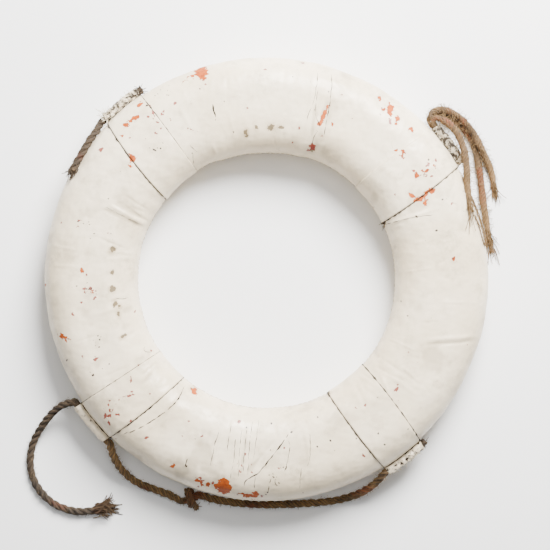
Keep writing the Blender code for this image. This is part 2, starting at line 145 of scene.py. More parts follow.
BROWN_SPOTS = [
    (88.4, 258, 11, 8, 20), (93.9, 260, 5, 10, 10), (97.9, 250, 5, 9, -10), (84.5, 259, 8, 4, 0),
    (169.2, 266, 7, 10, 60), (183.8, 262, 9, 9, 0), (189.4, 260, 9, 6, 0), (190.6, 254, 5, 5, 0),
    (193.4, 258, 8, 5, 0), (201.8, 262, 5, 9, 20), (177.4, 262, 5, 4, 0), (70.6, 236, 8, 9, 0),
    (236.6, 227, 10, 6, 0), (214.0, 308, 6, 4, 40), (25.2, 217, 5, 5, 0), (298.6, 222, 6, 5, 0),
]
DARK_DOTS = [
    (286.9, 296, 3, 3, 0), (291.6, 295, 2.6, 3, 0), (202.1, 367, 3, 7, 20), (306.0, 323, 3, 2, 0),
    (124.6, 358, 3, 3, 0), (16.0, 300, 2, 3, 0), (153.0, 300, 2, 2, 0), (299.5, 310, 2.4, 3, 0),
    (262.4, 254, 2.4, 2.4, 0), (247.0, 345, 2, 5, 0), (272.0, 246, 2, 3, 0), (313.0, 275, 3, 2, 0),
]
# Splits in the paint: half the width, then angle and radius at each corner
PAINT_CRACKS = [
    (0.75, [(106.7, 317), (107.3, 301), (107.4, 289), (108.0, 279)]),
    (0.30, [(76.3, 366), (75.6, 346), (75.1, 314), (75.7, 286), (75.6, 272)]),
    (0.32, [(74.8, 334), (74.3, 313), (73.1, 289), (70.8, 274), (71.6, 250), (70.4, 232)]),
    (0.50, [(72.7, 370), (71.4, 348), (69.9, 310), (69.2, 289), (68.0, 259)]),
    (0.62, [(279.0, 257), (277.0, 272), (271.1, 305), (267.5, 329), (264.2, 344), (263.9, 360)]),
    (0.34, [(277.6, 275), (278.0, 288), (276.0, 320), (275.2, 330)]),
    (0.42, [(252.9, 269), (252.7, 290), (253.4, 335)]),
    (0.34, [(256.4, 250), (257.1, 302)]),
    (0.40, [(259.0, 272), (259.8, 313), (259.7, 347)]),
    (0.28, [(260.7, 257), (261.2, 300), (262.2, 346)]),
    (0.36, [(262.5, 255), (262.9, 310), (263.4, 334)]),
    (0.36, [(264.5, 240), (264.2, 290), (264.6, 338)]),
    (0.26, [(266.9, 238), (266.0, 309)]),
    (0.30, [(286.1, 267), (283.8, 310), (282.2, 325)]),
    (0.55, [(246.3, 332), (246.6, 348)]),
    (0.42, [(266.9, 335), (266.6, 348), (266.9, 361)]),
    (0.36, [(271.3, 337), (270.4, 366)]),
    (0.32, [(280.7, 323), (279.0, 362)]),
    (0.55, [(276.2, 318), (275.6, 332)]),
    (0.50, [(273.0, 338), (272.4, 345), (273.3, 352)]),
    (0.55, [(226.9, 362), (229.0, 340), (231.5, 302), (233.6, 260), (232.4, 226)]),
    (0.26, [(25.0, 217), (23.0, 265), (20.5, 315)]),
    (0.24, [(155.8, 303), (156.3, 262), (156.6, 226)]),
    (0.34, [(187.2, 228), (187.8, 246), (187.2, 258)]),
    (0.30, [(118.6, 246), (119.8, 262)]),
    (0.26, [(122.2, 232), (120.0, 252)]),
    (0.34, [(212.6, 232), (210.6, 240), (208.4, 236)]),
    (0.30, [(131.0, 318), (133.2, 314), (135.6, 316)]),
]
# A thin red scratch
RED_SCRATCH = [(41.9, 289), (40.6, 290), (38.9, 287), (36.8, 278), (34.2, 267)]
# Folds of the canvas: depth, half width, then angle and radius at each end
FOLDS = [
    (-0.9, 3.0, (156.8, 305), (157.4, 226)), (0.9, 3.4, (154.6, 300), (156.0, 226)),
    (-0.8, 2.6, (152.6, 288), (154.2, 224)), (0.8, 4.0, (345.0, 374), (338.8, 287)),
    (-0.7, 3.0, (343.6, 374), (337.2, 287)), (0.6, 3.0, (253.9, 270), (254.2, 336)),
    (0.6, 3.0, (260.2, 260), (260.9, 345)), (0.6, 3.2, (263.2, 250), (263.8, 340)),
    (-0.6, 2.4, (261.8, 250), (262.6, 342)), (0.7, 4.0, (279.8, 262), (265.6, 345)),
    (-0.6, 3.0, (276.0, 262), (263.0, 340)), (0.5, 3.0, (74.2, 236), (76.9, 366)),
    (0.5, 3.2, (70.2, 240), (74.0, 366)), (-0.5, 2.6, (72.0, 238), (75.4, 360)),
    (0.7, 5.0, (231.6, 352), (232.9, 228)), (0.5, 4.0, (190.0, 228), (192.0, 300)),
    (0.4, 4.0, (322.0, 260), (322.4, 330)), (-0.4, 4.0, (325.0, 240), (326.0, 330)),
    (0.5, 3.4, (284.6, 262), (283.0, 330)), (0.5, 3.0, (320.4, 250), (315.8, 300)),
    (0.5, 3.0, (24.6, 220), (22.2, 320)), (-0.4, 2.6, (168.0, 240), (166.0, 300)),
]


# ---- the ring's shape


def reach_along(line):
    """Each point's distance from the start, along a line of points."""
    return np.concatenate([[0], np.cumsum(np.linalg.norm(np.diff(line, axis=0), axis=1))])


def heading(degrees, rise=0):
    turn = math.radians(degrees)
    return np.array([math.cos(turn), math.sin(turn), rise])


def section_table():
    """Fine points and outward directions round the ring's section, from the seam in the hole over the top."""
    turns = np.radians(np.linspace(180, -180, 1441))
    side = np.where(np.abs(turns) > math.pi / 2, -1.0, 1.0)
    wide = HALF_WIDTH - FACE_FLAT / 2
    places, facing = [], []
    previous = side[0]
    for turn, sign in zip(turns, side):
        if sign != previous:
            places.append((sign * FACE_FLAT / 2, math.copysign(THICKNESS / 2, math.sin(turn))))
            facing.append((0.0, math.copysign(1.0, math.sin(turn))))
        previous = sign
        places.append((sign * FACE_FLAT / 2 + wide * math.cos(turn), THICKNESS / 2 * math.sin(turn)))
        out = np.array([math.cos(turn) / wide, math.sin(turn) / (THICKNESS / 2)])
        facing.append(tuple(out / np.linalg.norm(out)))
    places, facing = np.array(places), np.array(facing)
    lengths = reach_along(places)
    return lengths, places, facing


SECTION_LENGTHS, SECTION_PLACES, SECTION_FACING = section_table()
PERIMETER = SECTION_LENGTHS[-1]


def section_at(lengths):
    """(across, up) and the outward direction at these lengths round the section."""
    spot = [np.interp(lengths, SECTION_LENGTHS, SECTION_PLACES[:, axis]) for axis in (0, 1)]
    facing = [np.interp(lengths, SECTION_LENGTHS, SECTION_FACING[:, axis]) for axis in (0, 1)]
    return (*spot, *facing)


def ring_places(turns, across, up):
    """World points at angles in radians, distances across from the tube's middle and heights over it."""
    radius = TUBE_RADIUS + across
    height = MID_HEIGHT + up + 0 * (radius + turns)
    return np.stack([radius * np.cos(turns), radius * np.sin(turns), height], axis=-1)


def rest_outside(places, clearance):
    """Moves points that are inside the ring or the floor out to this clearance."""
    radius = np.hypot(places[:, 0], places[:, 1])
    across = radius - TUBE_RADIUS
    up = places[:, 2] - MID_HEIGHT
    middle = np.clip(across, -FACE_FLAT / 2, FACE_FLAT / 2)
    off = across - middle
    depth = np.hypot(off / (HALF_WIDTH - FACE_FLAT / 2 + clearance), up / (THICKNESS / 2 + clearance))
    stretch = np.where(depth < 1, 1 / np.maximum(depth, 0.2), 1.0)
    new_radius = TUBE_RADIUS + middle + off * stretch
    moved = places * (new_radius / radius)[:, None]
    moved[:, 2] = np.maximum(MID_HEIGHT + up * stretch, clearance)
    return moved


def soft_noise(places, size, seed, waves=24):
    """Smooth lumps of about this size, mostly between -1 and 1."""
    draw = np.random.default_rng(seed)
    ways = draw.normal(size=(waves, 3))
    ways *= (2 * math.pi / size) / np.linalg.norm(ways, axis=1)[:, None]
    ways *= draw.uniform(0.6, 1.5, (waves, 1))
    phases = draw.uniform(0, 2 * math.pi, waves)
    total = np.zeros(places.shape[:-1])
    for way, phase in zip(ways, phases):
        total += np.sin(places @ way + phase)
    return total / math.sqrt(waves)


def smooth_step(value, low, high):
    share = np.clip((value - low) / (high - low), 0, 1)
    return share * share * (3 - 2 * share)


def plan_point(angle, radius):
    turn = math.radians(angle)
    return np.array([radius * MM * math.cos(turn), radius * MM * math.sin(turn)])


def line_distance(plan, start, end):
    """How far each plan point is from a straight line between two plan points, and the share along it."""
    way = end - start
    share = ((plan - start) @ way) / (way @ way)
    near = start + np.clip(share, 0, 1)[..., None] * way
    return np.linalg.norm(plan - near, axis=-1), share


def random_folds(seed, count):
    """Short folds across the ring, mostly where the canvas is gathered in towards the hole."""
    draw = np.random.default_rng(seed)
    folds = []
    for _ in range(count):
        angle = draw.uniform(0, 360)
        start = draw.choice([draw.uniform(222, 236), draw.uniform(235, 330)])
        end = min(378.0, start + draw.uniform(18, 70))
        lean = draw.normal(0, 1.6)
        depth = draw.uniform(0.2, 0.6) * draw.choice([-1, 1])
        folds.append((depth, draw.uniform(2.0, 4.5), (angle, start), (angle + lean, end)))
    return folds


FOLD_DEPTH = 1.5
UPPER_FOLDS = [(FOLD_DEPTH * depth, *rest) for depth, *rest in FOLDS] + random_folds(31, 70)
LOWER_FOLDS = random_folds(32, 110)


def canvas_relief(turns, across, places):
    """How far the canvas stands off the plain ring: cork block edges, lumps, pleats and folds."""
    degrees = np.degrees(turns) % 360
    relief = 0.55 * MM * soft_noise(places, 0.085, 1) + 0.2 * MM * soft_noise(places, 0.03, 2)
    relief += 0.12 * MM * soft_noise(places, 0.012, 3)
    relief += 0.7 * MM * (1 - np.cos(np.radians(8 * (degrees - 25)))) / 2
    inner = smooth_step(-across, 0.035, 0.072)
    outer = smooth_step(across, 0.045, 0.075)
    bulge = smooth_step(degrees, 69, 76) * (1 - smooth_step(degrees, 108, 118))
    relief += 4.4 * MM * bulge * inner
    corner = np.exp(-(((degrees - 163) / 14) ** 2)) + 0.8 * np.exp(-(((degrees - 345) / 12) ** 2))
    relief += 1.4 * MM * corner * outer
    relief += 0.22 * MM * inner * np.sin(np.radians(degrees * 47) + 2 * soft_noise(places, 0.2, 4))
    plan = places[..., :2]
    for folds, side in ((UPPER_FOLDS, 1), (LOWER_FOLDS, -1)):
        shown = places[..., 2] * side > MID_HEIGHT * side
        for depth, width, start, end in folds:
            gap, share = line_distance(plan, plan_point(*start), plan_point(*end))
            near = gap < 4 * width * MM
            fade = smooth_step(share, -0.02, 0.25) * (1 - smooth_step(share, 0.7, 1.02))
            relief += np.where(shown & near, depth * MM * np.exp(-((gap / (width * MM)) ** 2)) * fade, 0)
    return np.maximum(relief, -1.2 * MM)


def mark_depth(places, marks, least=-9.0):
    """How deep each point is inside the nearest of these marks on the upper face, in millimetres."""
    plan = places[..., :2] / MM
    best = np.full(places.shape[:-1], least)
    for angle, radius, along, over, lean in marks:
        turn = math.radians(angle)
        twist = math.radians(lean)
        centre = np.array([radius * math.cos(turn), radius * math.sin(turn)])
        offset = plan - centre
        outward = offset @ np.array([math.cos(turn + twist), math.sin(turn + twist)])
        sideways = offset @ np.array([-math.sin(turn + twist), math.cos(turn + twist)])
        size = np.hypot(sideways / (along / 2), outward / (over / 2))
        best = np.maximum(best, (1 - size) * min(along, over) / 2)
    return np.where(places[..., 2] > MID_HEIGHT, best, least)


def random_marks(seed, count, least, most):
    draw = np.random.default_rng(seed)
    marks = []
    for _ in range(count):
        size = draw.uniform(least, most)
        lean = draw.uniform(-60, 60)
        marks.append(
            (draw.uniform(0, 360), draw.uniform(230, 376), size, size * draw.uniform(0.6, 2.2), lean)
        )
    return marks


# ---- meshes


def add_object(name, mesh, finish=None):
    made = bpy.data.objects.new(name, mesh)
    bpy.context.scene.collection.objects.link(made)
    if finish:
        mesh.materials.append(finish)
    return made


def grid_mesh(name, places, uvs, masks, wrap):
    """A mesh on a grid of points, as (rows, columns, 3), with a canvas map and a number of masks."""
    rows, columns = places.shape[:2]
    spans = columns if wrap else columns - 1
    row, column = (grid.ravel() for grid in np.meshgrid(np.arange(rows - 1), np.arange(spans), indexing="ij"))
    corner_rows = np.stack([row, row, row + 1, row + 1], axis=1)
    corner_columns = np.stack([column, column + 1, column + 1, column], axis=1)
    faces = corner_rows * columns + corner_columns % columns
    mesh = bpy.data.meshes.new(name)
    mesh.from_pydata(places.reshape(-1, 3).tolist(), [], faces.tolist())
    mesh.uv_layers.new(name="canvas").data.foreach_set("uv", uvs[corner_rows, corner_columns].ravel())
    for mask, values in masks.items():
        mesh.attributes.new(mask, "FLOAT", "POINT").data.foreach_set("value", values.ravel())
    mesh.shade_smooth()
    return mesh


def frames_along(line):
    """Two directions square to a line at each of its points, which turn with it as little as they can."""
    ways = np.gradient(line, axis=0)
    ways /= np.linalg.norm(ways, axis=1)[:, None]
    first = np.cross(ways[0], (0, 0, 1) if abs(ways[0][2]) < 0.9 else (1, 0, 0))
    sides = [first / np.linalg.norm(first)]
    for way in ways[1:]:
        side = sides[-1] - way * (sides[-1] @ way)
        sides.append(side / np.linalg.norm(side))
    sides = np.array(sides)
    return sides, np.cross(ways, sides)


class Bundle:
    """Closed tubes gathered into one mesh, each with its own shade number and the distance along it."""

    def __init__(self):
        self.places, self.faces, self.uvs, self.shades, self.frayed = [], [], [], [], []
        self.count = 0

    def add(self, line, radii, sides, shade=0.0, fray=0.0):
        line = np.asarray(line, float)
        radii = np.broadcast_to(np.asarray(radii, float), (len(line),))
        first, second = frames_along(line)
        turns = np.arange(sides) * 2 * math.pi / sides
        rings = np.cos(turns)[None, :, None] * first[:, None] + np.sin(turns)[None, :, None] * second[:, None]
        self.places.append((line[:, None] + radii[:, None, None] * rings).reshape(-1, 3))
        reach = reach_along(line)
        for row in range(len(line) - 1):
            low, high = self.count + row * sides, self.count + (row + 1) * sides
            for side in range(sides):
                after = (side + 1) % sides
                self.faces.append((low + side, low + after, high + after, high + side))
                here, there = side / sides, (side + 1) / sides
                self.uvs += [
                    (here, reach[row]), (there, reach[row]), (there, reach[row + 1]), (here, reach[row + 1])
                ]
        last = self.count + (len(line) - 1) * sides
        self.faces.append(tuple(range(self.count + sides - 1, self.count - 1, -1)))
        self.uvs += [(0.5, 0.0)] * sides
        self.faces.append(tuple(range(last, last + sides)))
        self.uvs += [(0.5, reach[-1])] * sides
        self.shades.append(np.full(len(line) * sides, shade))
        self.frayed.append(np.repeat(np.broadcast_to(np.asarray(fray, float), (len(line),)), sides))
        self.count += len(line) * sides

    def piece(self, name, finish):
        mesh = bpy.data.meshes.new(name)
        places = np.concatenate(self.places)
        places[:, 2] = np.maximum(places[:, 2], FLOOR_GAP)
        mesh.from_pydata(places.tolist(), [], self.faces)
        mesh.uv_layers.new(name="lay").data.foreach_set("uv", np.array(self.uvs).ravel())
        mesh.attributes.new("shade", "FLOAT", "POINT").data.foreach_set("value", np.concatenate(self.shades))
        mesh.attributes.new("fray", "FLOAT", "POINT").data.foreach_set("value", np.concatenate(self.frayed))
        mesh.shade_smooth()
        mesh.set_sharp_from_angle(angle=math.radians(60))
        return add_object(name, mesh, finish)


# ---- routes


def on_ring(angle, out, height):
    radius = OUTER_RADIUS + out * MM
    turn = math.radians(angle)
    return np.array([radius * math.cos(turn), radius * math.sin(turn), height * MM])


def on_edge(angle, climb, diameter):
    """The centre of a rope that lies on the ring's round outer edge, this many degrees up from the rim."""
    lift = diameter / 2 + RESTING_GAP
    up = math.radians(climb)
    radius = TUBE_RADIUS + FACE_FLAT / 2 + (HALF_WIDTH - FACE_FLAT / 2 + lift) * math.cos(up)
    turn = math.radians(angle)
    return np.array(
        [radius * math.cos(turn), radius * math.sin(turn), MID_HEIGHT + (THICKNESS / 2 + lift) * math.sin(up)]
    )


def sleeve_mouth(place, side, beyond, out=0.0, up=0.0):
    """A point straight out of a sleeve: side is +1 for its counterclockwise mouth and -1 for the other."""
    outward = heading(BAND_ANGLES[place])
    along = np.array([-outward[1], outward[0], 0]) * side
    radius = math.sqrt(SLEEVE_RING_RADIUS**2 - (BAND_WIDTH / 2) ** 2)
    return outward * (radius + out) + along * (BAND_WIDTH / 2 + beyond) + np.array([0, 0, MID_HEIGHT + up])


def knot_face(side, beyond):
    """A point straight out of the knot: side is -1 where the rope comes in and +1 where it goes on."""
    centre = on_ring(*KNOT_PLACE)
    centre[2] = KNOT_ROPE_HEIGHT
    return centre + heading(KNOT_HEADING) * side * (KNOT_LENGTH / 2 + beyond)


def smooth_line(points, spacing):
    """Evenly spaced points on one smooth curve through the given ones."""
    points = np.array(points, float)
    padded = np.concatenate([[2 * points[0] - points[1]], points, [2 * points[-1] - points[-2]]])
    fine = []
    for before, start, end, after in zip(padded, padded[1:], padded[2:], padded[3:]):
        for step in range(16):
            t = step / 16
            bent = (2 * before - 5 * start + 4 * end - after) * t**2
            fine.append(
                0.5 * (2 * start + (end - before) * t + bent + (3 * start - before - 3 * end + after) * t**3)
            )
    fine = np.array([*fine, points[-1]])
    reach = reach_along(fine)
    wanted = np.linspace(0, reach[-1], max(3, round(reach[-1] / spacing) + 1))
    return np.stack([np.interp(wanted, reach, fine[:, axis]) for axis in range(3)], axis=1)


# ---- camera, before everything else

CAMERA_PLACE = (0.0147, 0.0069, 3.2)
CAMERA_LENS = 119.5


def add_camera():
    camera = bpy.data.cameras.new("camera")
    camera.type = "PERSP"
    camera.sensor_width = 36
    camera.lens = CAMERA_LENS
    camera.dof.use_dof = False
    holder = bpy.data.objects.new("camera", camera)
    holder.location = CAMERA_PLACE
    bpy.context.scene.collection.objects.link(holder)
    bpy.context.scene.camera = holder


# ---- finishes


class Nodes:
    """Short ways to add nodes to a material or a node group."""

    def __init__(self, tree):
        self.tree = tree

    def feed(self, socket, value):
        if isinstance(value, bpy.types.NodeSocket):
            self.tree.links.new(value, socket)
        else:
            socket.default_value = value

    def node(self, kind, inputs=None, **settings):
        made = self.tree.nodes.new(kind)
        for name, value in settings.items():
            setattr(made, name, value)
        for socket, value in (inputs or {}).items():
            self.feed(made.inputs[socket], value)
        return made

    def maths(self, operation, first, second=0.0, third=0.0, clamp=False):
        made = self.node(
            "ShaderNodeMath", {0: first, 1: second, 2: third}, operation=operation, use_clamp=clamp
        )
        return made.outputs[0]

    def times(self, first, second):
        return self.maths("MULTIPLY", first, second)

    def step(self, value, low, high, start=0.0, end=1.0):
        """Goes smoothly from start to end while the value goes from low to high."""
        made = self.node(
            "ShaderNodeMapRange",
            {0: value, 1: low, 2: high, 3: start, 4: end},
            interpolation_type="SMOOTHSTEP",
        )
        return made.outputs[0]

    def noise(self, vector, scale, detail=3.0, roughness=0.5, distortion=0.0):
        made = self.node(
            "ShaderNodeTexNoise",
            {
                "Vector": vector, "Scale": scale, "Detail": detail, "Roughness": roughness,
                "Distortion": distortion,
            },
        )
        return made.outputs["Fac"]

    def cells(self, vector, scale, feature="F1", output="Distance"):
        made = self.node("ShaderNodeTexVoronoi", {"Vector": vector, "Scale": scale}, feature=feature)
        return made.outputs[output]

    def blend(self, share, first, second, way="MIX"):
        made = self.node("ShaderNodeMix", {0: share}, data_type="RGBA", blend_type=way)
        self.feed(made.inputs[6], first)
        self.feed(made.inputs[7], second)
        return made.outputs[2]

    def stretch(self, vector, scale):
        return self.node("ShaderNodeMapping", {"Vector": vector, "Scale": scale}).outputs[0]

    def mask(self, name):
        return self.node("ShaderNodeAttribute", attribute_name=name).outputs["Fac"]

    def map(self, name):
        return self.node("ShaderNodeUVMap", uv_map=name).outputs[0]

    def place(self):
        return self.node("ShaderNodeTexCoord").outputs["Object"]

    def group(self, tree, **inputs):
        made = self.node("ShaderNodeGroup", node_tree=tree)
        for name, value in inputs.items():
            self.feed(made.inputs[name.replace("_", " ")], value)
        return made.outputs


def rgb(red, green, blue):
    return (red, green, blue, 1.0)


def new_finish(name, roughness=0.6):
    """A material with its shader, ready for the nodes that feed it."""
    made = bpy.data.materials.new(name)
    made.use_nodes = True
    shader = made.node_tree.nodes["Principled BSDF"]
    shader.inputs["Roughness"].default_value = roughness
    return made, Nodes(made.node_tree), shader


def feed_shader(nodes, shader, colour, roughness, height, depth):
    nodes.feed(shader.inputs["Base Color"], colour)
    if roughness is not None:
        nodes.feed(shader.inputs["Roughness"], roughness)
    bump = nodes.node("ShaderNodeBump", {"Strength": 1.0, "Distance": depth, "Height": height})
    nodes.feed(shader.inputs["Normal"], bump.outputs[0])


def new_group(name, inputs, outputs):
    tree = bpy.data.node_groups.new(name, "ShaderNodeTree")
    for label, kind in inputs:
        tree.interface.new_socket(label, in_out="INPUT", socket_type=kind)
    for label, kind in outputs:
        tree.interface.new_socket(label, in_out="OUTPUT", socket_type=kind)
    nodes = Nodes(tree)
    return tree, nodes, nodes.node("NodeGroupInput").outputs, nodes.node("NodeGroupOutput").inputs


VALUE, VECTOR, COLOUR = "NodeSocketFloat", "NodeSocketVector", "NodeSocketColor"


def weave_group():
    """Plain canvas weave on a map in metres: each thread goes over one and under the next."""
    tree, nodes, given, result = new_group(
        "canvas_weave", [("Map", VECTOR), ("Threads", VALUE)], [("Height", VALUE)]
    )
    parts = nodes.node("ShaderNodeSeparateXYZ", {0: given["Map"]}).outputs
    waves = []
    for axis in (0, 1):
        turns = nodes.times(nodes.times(parts[axis], given["Threads"]), math.pi)
        waves.append(nodes.maths("SINE", turns))
    over = nodes.times(waves[0], waves[1])
    nodes.feed(result["Height"], nodes.maths("MULTIPLY_ADD", over, 0.5, 0.5))
    return tree


def grime_group():
    """Uneven dirt: broad clouds broken up by fine specks."""
    tree, nodes, given, result = new_group(
        "grime", [("Point", VECTOR), ("Scale", VALUE), ("Amount", VALUE)], [("Dirt", VALUE)]
    )
    clouds = nodes.step(nodes.noise(given["Point"], given["Scale"], 5.0, 0.62), 0.48, 0.75)
    fine = nodes.noise(given["Point"], nodes.times(given["Scale"], 14.0), 4.0, 0.7)
    broken = nodes.times(clouds, nodes.step(fine, 0.35, 0.7))
    nodes.feed(result["Dirt"], nodes.maths("MULTIPLY", broken, given["Amount"], clamp=True))
    return tree


def torn_edge_group():
    """Turns the depth inside a mark, in millimetres, into a mask with a ragged edge."""
    tree, nodes, given, result = new_group(
        "ragged_mark",
        [("Point", VECTOR), ("Depth", VALUE), ("Ragged", VALUE)],
        [("Mark", VALUE), ("Rim", VALUE)],
    )
    rough = nodes.maths("SUBTRACT", nodes.noise(given["Point"], 330.0, 4.0, 0.7), 0.5)
    coarse = nodes.maths("SUBTRACT", nodes.noise(given["Point"], 130.0, 2.0, 0.5), 0.5)
    both = nodes.maths("MULTIPLY_ADD", coarse, 2.0, rough)
    torn = nodes.maths("MULTIPLY_ADD", both, given["Ragged"], given["Depth"])
    nodes.feed(result["Mark"], nodes.step(torn, 0.0, 0.35))
    nodes.feed(result["Rim"], nodes.step(torn, -1.2, 0.0))
    return tree


def paint_group(weave, grime, ragged):
    """Old cream paint on canvas: dirt, painted shade in hollows, brush marks, an orange coat seen in chips,
    red marks and stains.
    """
    tree, nodes, given, result = new_group(
        "old_paint",
        [("Point", VECTOR), ("Map", VECTOR)]
        + [(mask, VALUE) for mask in ("Chip", "Red", "Stain", "Dark", "Hollow", "Soiled")],
        [("Colour", COLOUR), ("Roughness", VALUE), ("Height", VALUE)],
    )
    point = given["Point"]
    broad = nodes.noise(point, 7.0, 4.0, 0.55)
    colour = nodes.blend(nodes.step(broad, 0.35, 0.7), rgb(0.83, 0.72, 0.545), rgb(0.73, 0.615, 0.435))
    patchy = nodes.noise(point, 31.0, 5.0, 0.6)
    colour = nodes.blend(nodes.step(patchy, 0.48, 0.74, 0.0, 0.62), colour, rgb(0.56, 0.465, 0.32))
    strokes = nodes.noise(nodes.stretch(given["Map"], (260.0, 26.0, 1.0)), 1.0, 3.0, 0.6)
    colour = nodes.blend(nodes.step(strokes, 0.55, 0.8, 0.0, 0.16), colour, rgb(0.50, 0.44, 0.33))
    amount = nodes.maths("ADD", 0.36, given["Soiled"])
    dirt = nodes.group(grime, Point=point, Scale=11.0, Amount=amount)["Dirt"]
    colour = nodes.blend(dirt, colour, rgb(0.30, 0.24, 0.15))
    # Hollows of the folds and along the band's edges are darkened: partly dirt, partly painted shade.
    hollow_dirt_and_shade = nodes.step(given["Hollow"], 0.0, 1.0, 0.0, 0.42)
    colour = nodes.blend(hollow_dirt_and_shade, colour, rgb(0.32, 0.26, 0.17))
    crazing = nodes.cells(point, 120.0, "DISTANCE_TO_EDGE")
    hair = nodes.times(nodes.step(crazing, 0.03, 0.0), nodes.step(patchy, 0.52, 0.62))
    colour = nodes.blend(nodes.times(hair, 0.35), colour, rgb(0.38, 0.35, 0.28))
    stain = nodes.group(ragged, Point=point, Depth=given["Stain"], Ragged=5.0)
    halo = nodes.step(given["Stain"], -5.0, 1.0, 0.0, 0.5)
    colour = nodes.blend(
        nodes.times(halo, nodes.step(patchy, 0.3, 0.6)), colour, rgb(0.33, 0.23, 0.11)
    )
    bare = nodes.blend(nodes.noise(point, 300.0, 3.0), rgb(0.03, 0.02, 0.007), rgb(0.15, 0.10, 0.035))
    colour = nodes.blend(nodes.times(stain["Mark"], 0.85), colour, bare)
    red = nodes.group(ragged, Point=point, Depth=given["Red"], Ragged=5.5)
    colour = nodes.blend(nodes.times(red["Mark"], 0.9), colour, rgb(0.20, 0.010, 0.006))
    chip = nodes.group(ragged, Point=point, Depth=given["Chip"], Ragged=8.0)
    under = nodes.blend(
        nodes.step(nodes.noise(point, 210.0, 4.0), 0.4, 0.7), rgb(0.40, 0.072, 0.0), rgb(0.25, 0.037, 0.0)
    )
    colour = nodes.blend(chip["Mark"], colour, under)
    dark = nodes.group(ragged, Point=point, Depth=given["Dark"], Ragged=2.4)
    colour = nodes.blend(dark["Mark"], colour, rgb(0.028, 0.016, 0.013))
    nodes.feed(result["Colour"], colour)
    matt = nodes.step(patchy, 0.35, 0.7, 0.27, 0.46)
    worn = nodes.maths("MAXIMUM", nodes.maths("MAXIMUM", chip["Mark"], stain["Mark"]), dirt)
    nodes.feed(result["Roughness"], nodes.maths("MULTIPLY_ADD", worn, 0.35, matt, clamp=True))
    threads = nodes.group(weave, Map=given["Map"], Threads=780.0)["Height"]
    height = nodes.times(threads, nodes.step(broad, 0.3, 0.7, 0.02, 0.07))
    height = nodes.maths("MULTIPLY_ADD", nodes.noise(point, 90.0, 4.0, 0.6), 0.42, height)
    height = nodes.maths("MULTIPLY_ADD", strokes, 0.12, height)
    height = nodes.maths("MULTIPLY_ADD", hair, -0.12, height)
    gone = nodes.maths("MAXIMUM", nodes.maths("MAXIMUM", chip["Mark"], stain["Mark"]), red["Mark"])
    lifted = nodes.maths(
        "SUBTRACT", nodes.times(chip["Rim"], 0.12), nodes.times(gone, 0.4)
    )
    height = nodes.maths("ADD", height, lifted)
    nodes.feed(result["Height"], height)
    return tree


def painted_finish(name, paint, soiled):
    made, nodes, shader = new_finish(name)
    point = nodes.place()
    old = nodes.group(
        paint,
        Point=point,
        Map=nodes.map("canvas"),
        Chip=nodes.mask("chip"),
        Red=nodes.mask("red"),
        Stain=nodes.mask("stain"),
        Dark=nodes.mask("dark"),
        Hollow=nodes.mask("hollow_dirt_and_shade"),
        Soiled=soiled,
    )
    return made, nodes, shader, old


def cover_finish(paint):
    made, nodes, shader, old = painted_finish("painted_canvas_finish", paint, 0.12)
    shader.inputs["Specular IOR Level"].default_value = 0.42
    feed_shader(nodes, shader, old["Colour"], old["Roughness"], old["Height"], 0.0007)
    return made


def band_finish(paint):
    """As the cover, but worn through to bare and dark canvas on the rope sleeve."""
    made, nodes, shader, old = painted_finish("band_canvas_finish", paint, 0.2)
    point = nodes.place()
    sleeve = nodes.mask("worn")
    shreds = nodes.noise(nodes.stretch(nodes.map("canvas"), (260.0, 900.0, 1.0)), 1.0, 4.0, 0.65)
    blotch = nodes.noise(point, 150.0, 4.0, 0.6)
    level = nodes.maths("MULTIPLY_ADD", blotch, 0.8, nodes.times(shreds, 0.4))
    bare = nodes.step(nodes.maths("ADD", level, nodes.times(sleeve, 0.55)), 0.84, 0.96)
    bare = nodes.times(bare, nodes.step(sleeve, 0.02, 0.15))
    cloth = nodes.blend(shreds, rgb(0.19, 0.14, 0.08), rgb(0.56, 0.48, 0.35))
    colour = nodes.blend(bare, old["Colour"], cloth)
    hole = nodes.step(nodes.maths("ADD", nodes.step(blotch, 0.34, 0.66), sleeve), 1.24, 1.36)
    hole = nodes.times(hole, nodes.step(sleeve, 0.1, 0.3))
    colour = nodes.blend(hole, colour, rgb(0.03, 0.021, 0.013))
    rough = nodes.maths("MULTIPLY_ADD", bare, 0.4, old["Roughness"], clamp=True)
    height = nodes.maths("MULTIPLY_ADD", bare, nodes.times(shreds, 0.9), old["Height"])
    height = nodes.maths("MULTIPLY_ADD", hole, -1.2, height)
    shader.inputs["Specular IOR Level"].default_value = 0.4
    feed_shader(nodes, shader, colour, rough, height, 0.0008)
    return made


def lay_group():
    """Yarns and fibres on one strand: the map runs round the strand, then along it in metres."""
    tree, nodes, given, result = new_group(
        "rope_lay",
        [("Map", VECTOR), ("Point", VECTOR), ("Yarns", VALUE), ("Slope", VALUE), ("Shade", VALUE)],
        [("Height", VALUE), ("Groove", VALUE), ("Fibre", VALUE), ("Patch", VALUE)],
    )
    parts = nodes.node("ShaderNodeSeparateXYZ", {0: given["Map"]}).outputs
    around = nodes.times(parts[0], given["Yarns"])
    along = nodes.times(parts[1], given["Slope"])
    lean = nodes.maths("ADD", around, along)
    wave = nodes.maths("SINE", nodes.times(lean, 2 * math.pi))
    groove = nodes.step(wave, -0.9, 0.1, 1.0, 0.0)
    ways = nodes.node(
        "ShaderNodeCombineXYZ", {0: nodes.times(lean, 5.0), 1: parts[1], 2: given["Shade"]}
    )
    fibre = nodes.noise(nodes.stretch(ways.outputs[0], (1.0, 90.0, 3.0)), 1.0, 5.0, 0.7)
    patch = nodes.noise(given["Point"], 36.0, 3.0, 0.6)
    height = nodes.maths("MULTIPLY_ADD", groove, -0.6, nodes.times(fibre, 0.7))
    nodes.feed(result["Height"], height)
    nodes.feed(result["Groove"], groove)
    nodes.feed(result["Fibre"], fibre)
    nodes.feed(result["Patch"], patch)
    return tree


YARN_SLOPE = -95.0


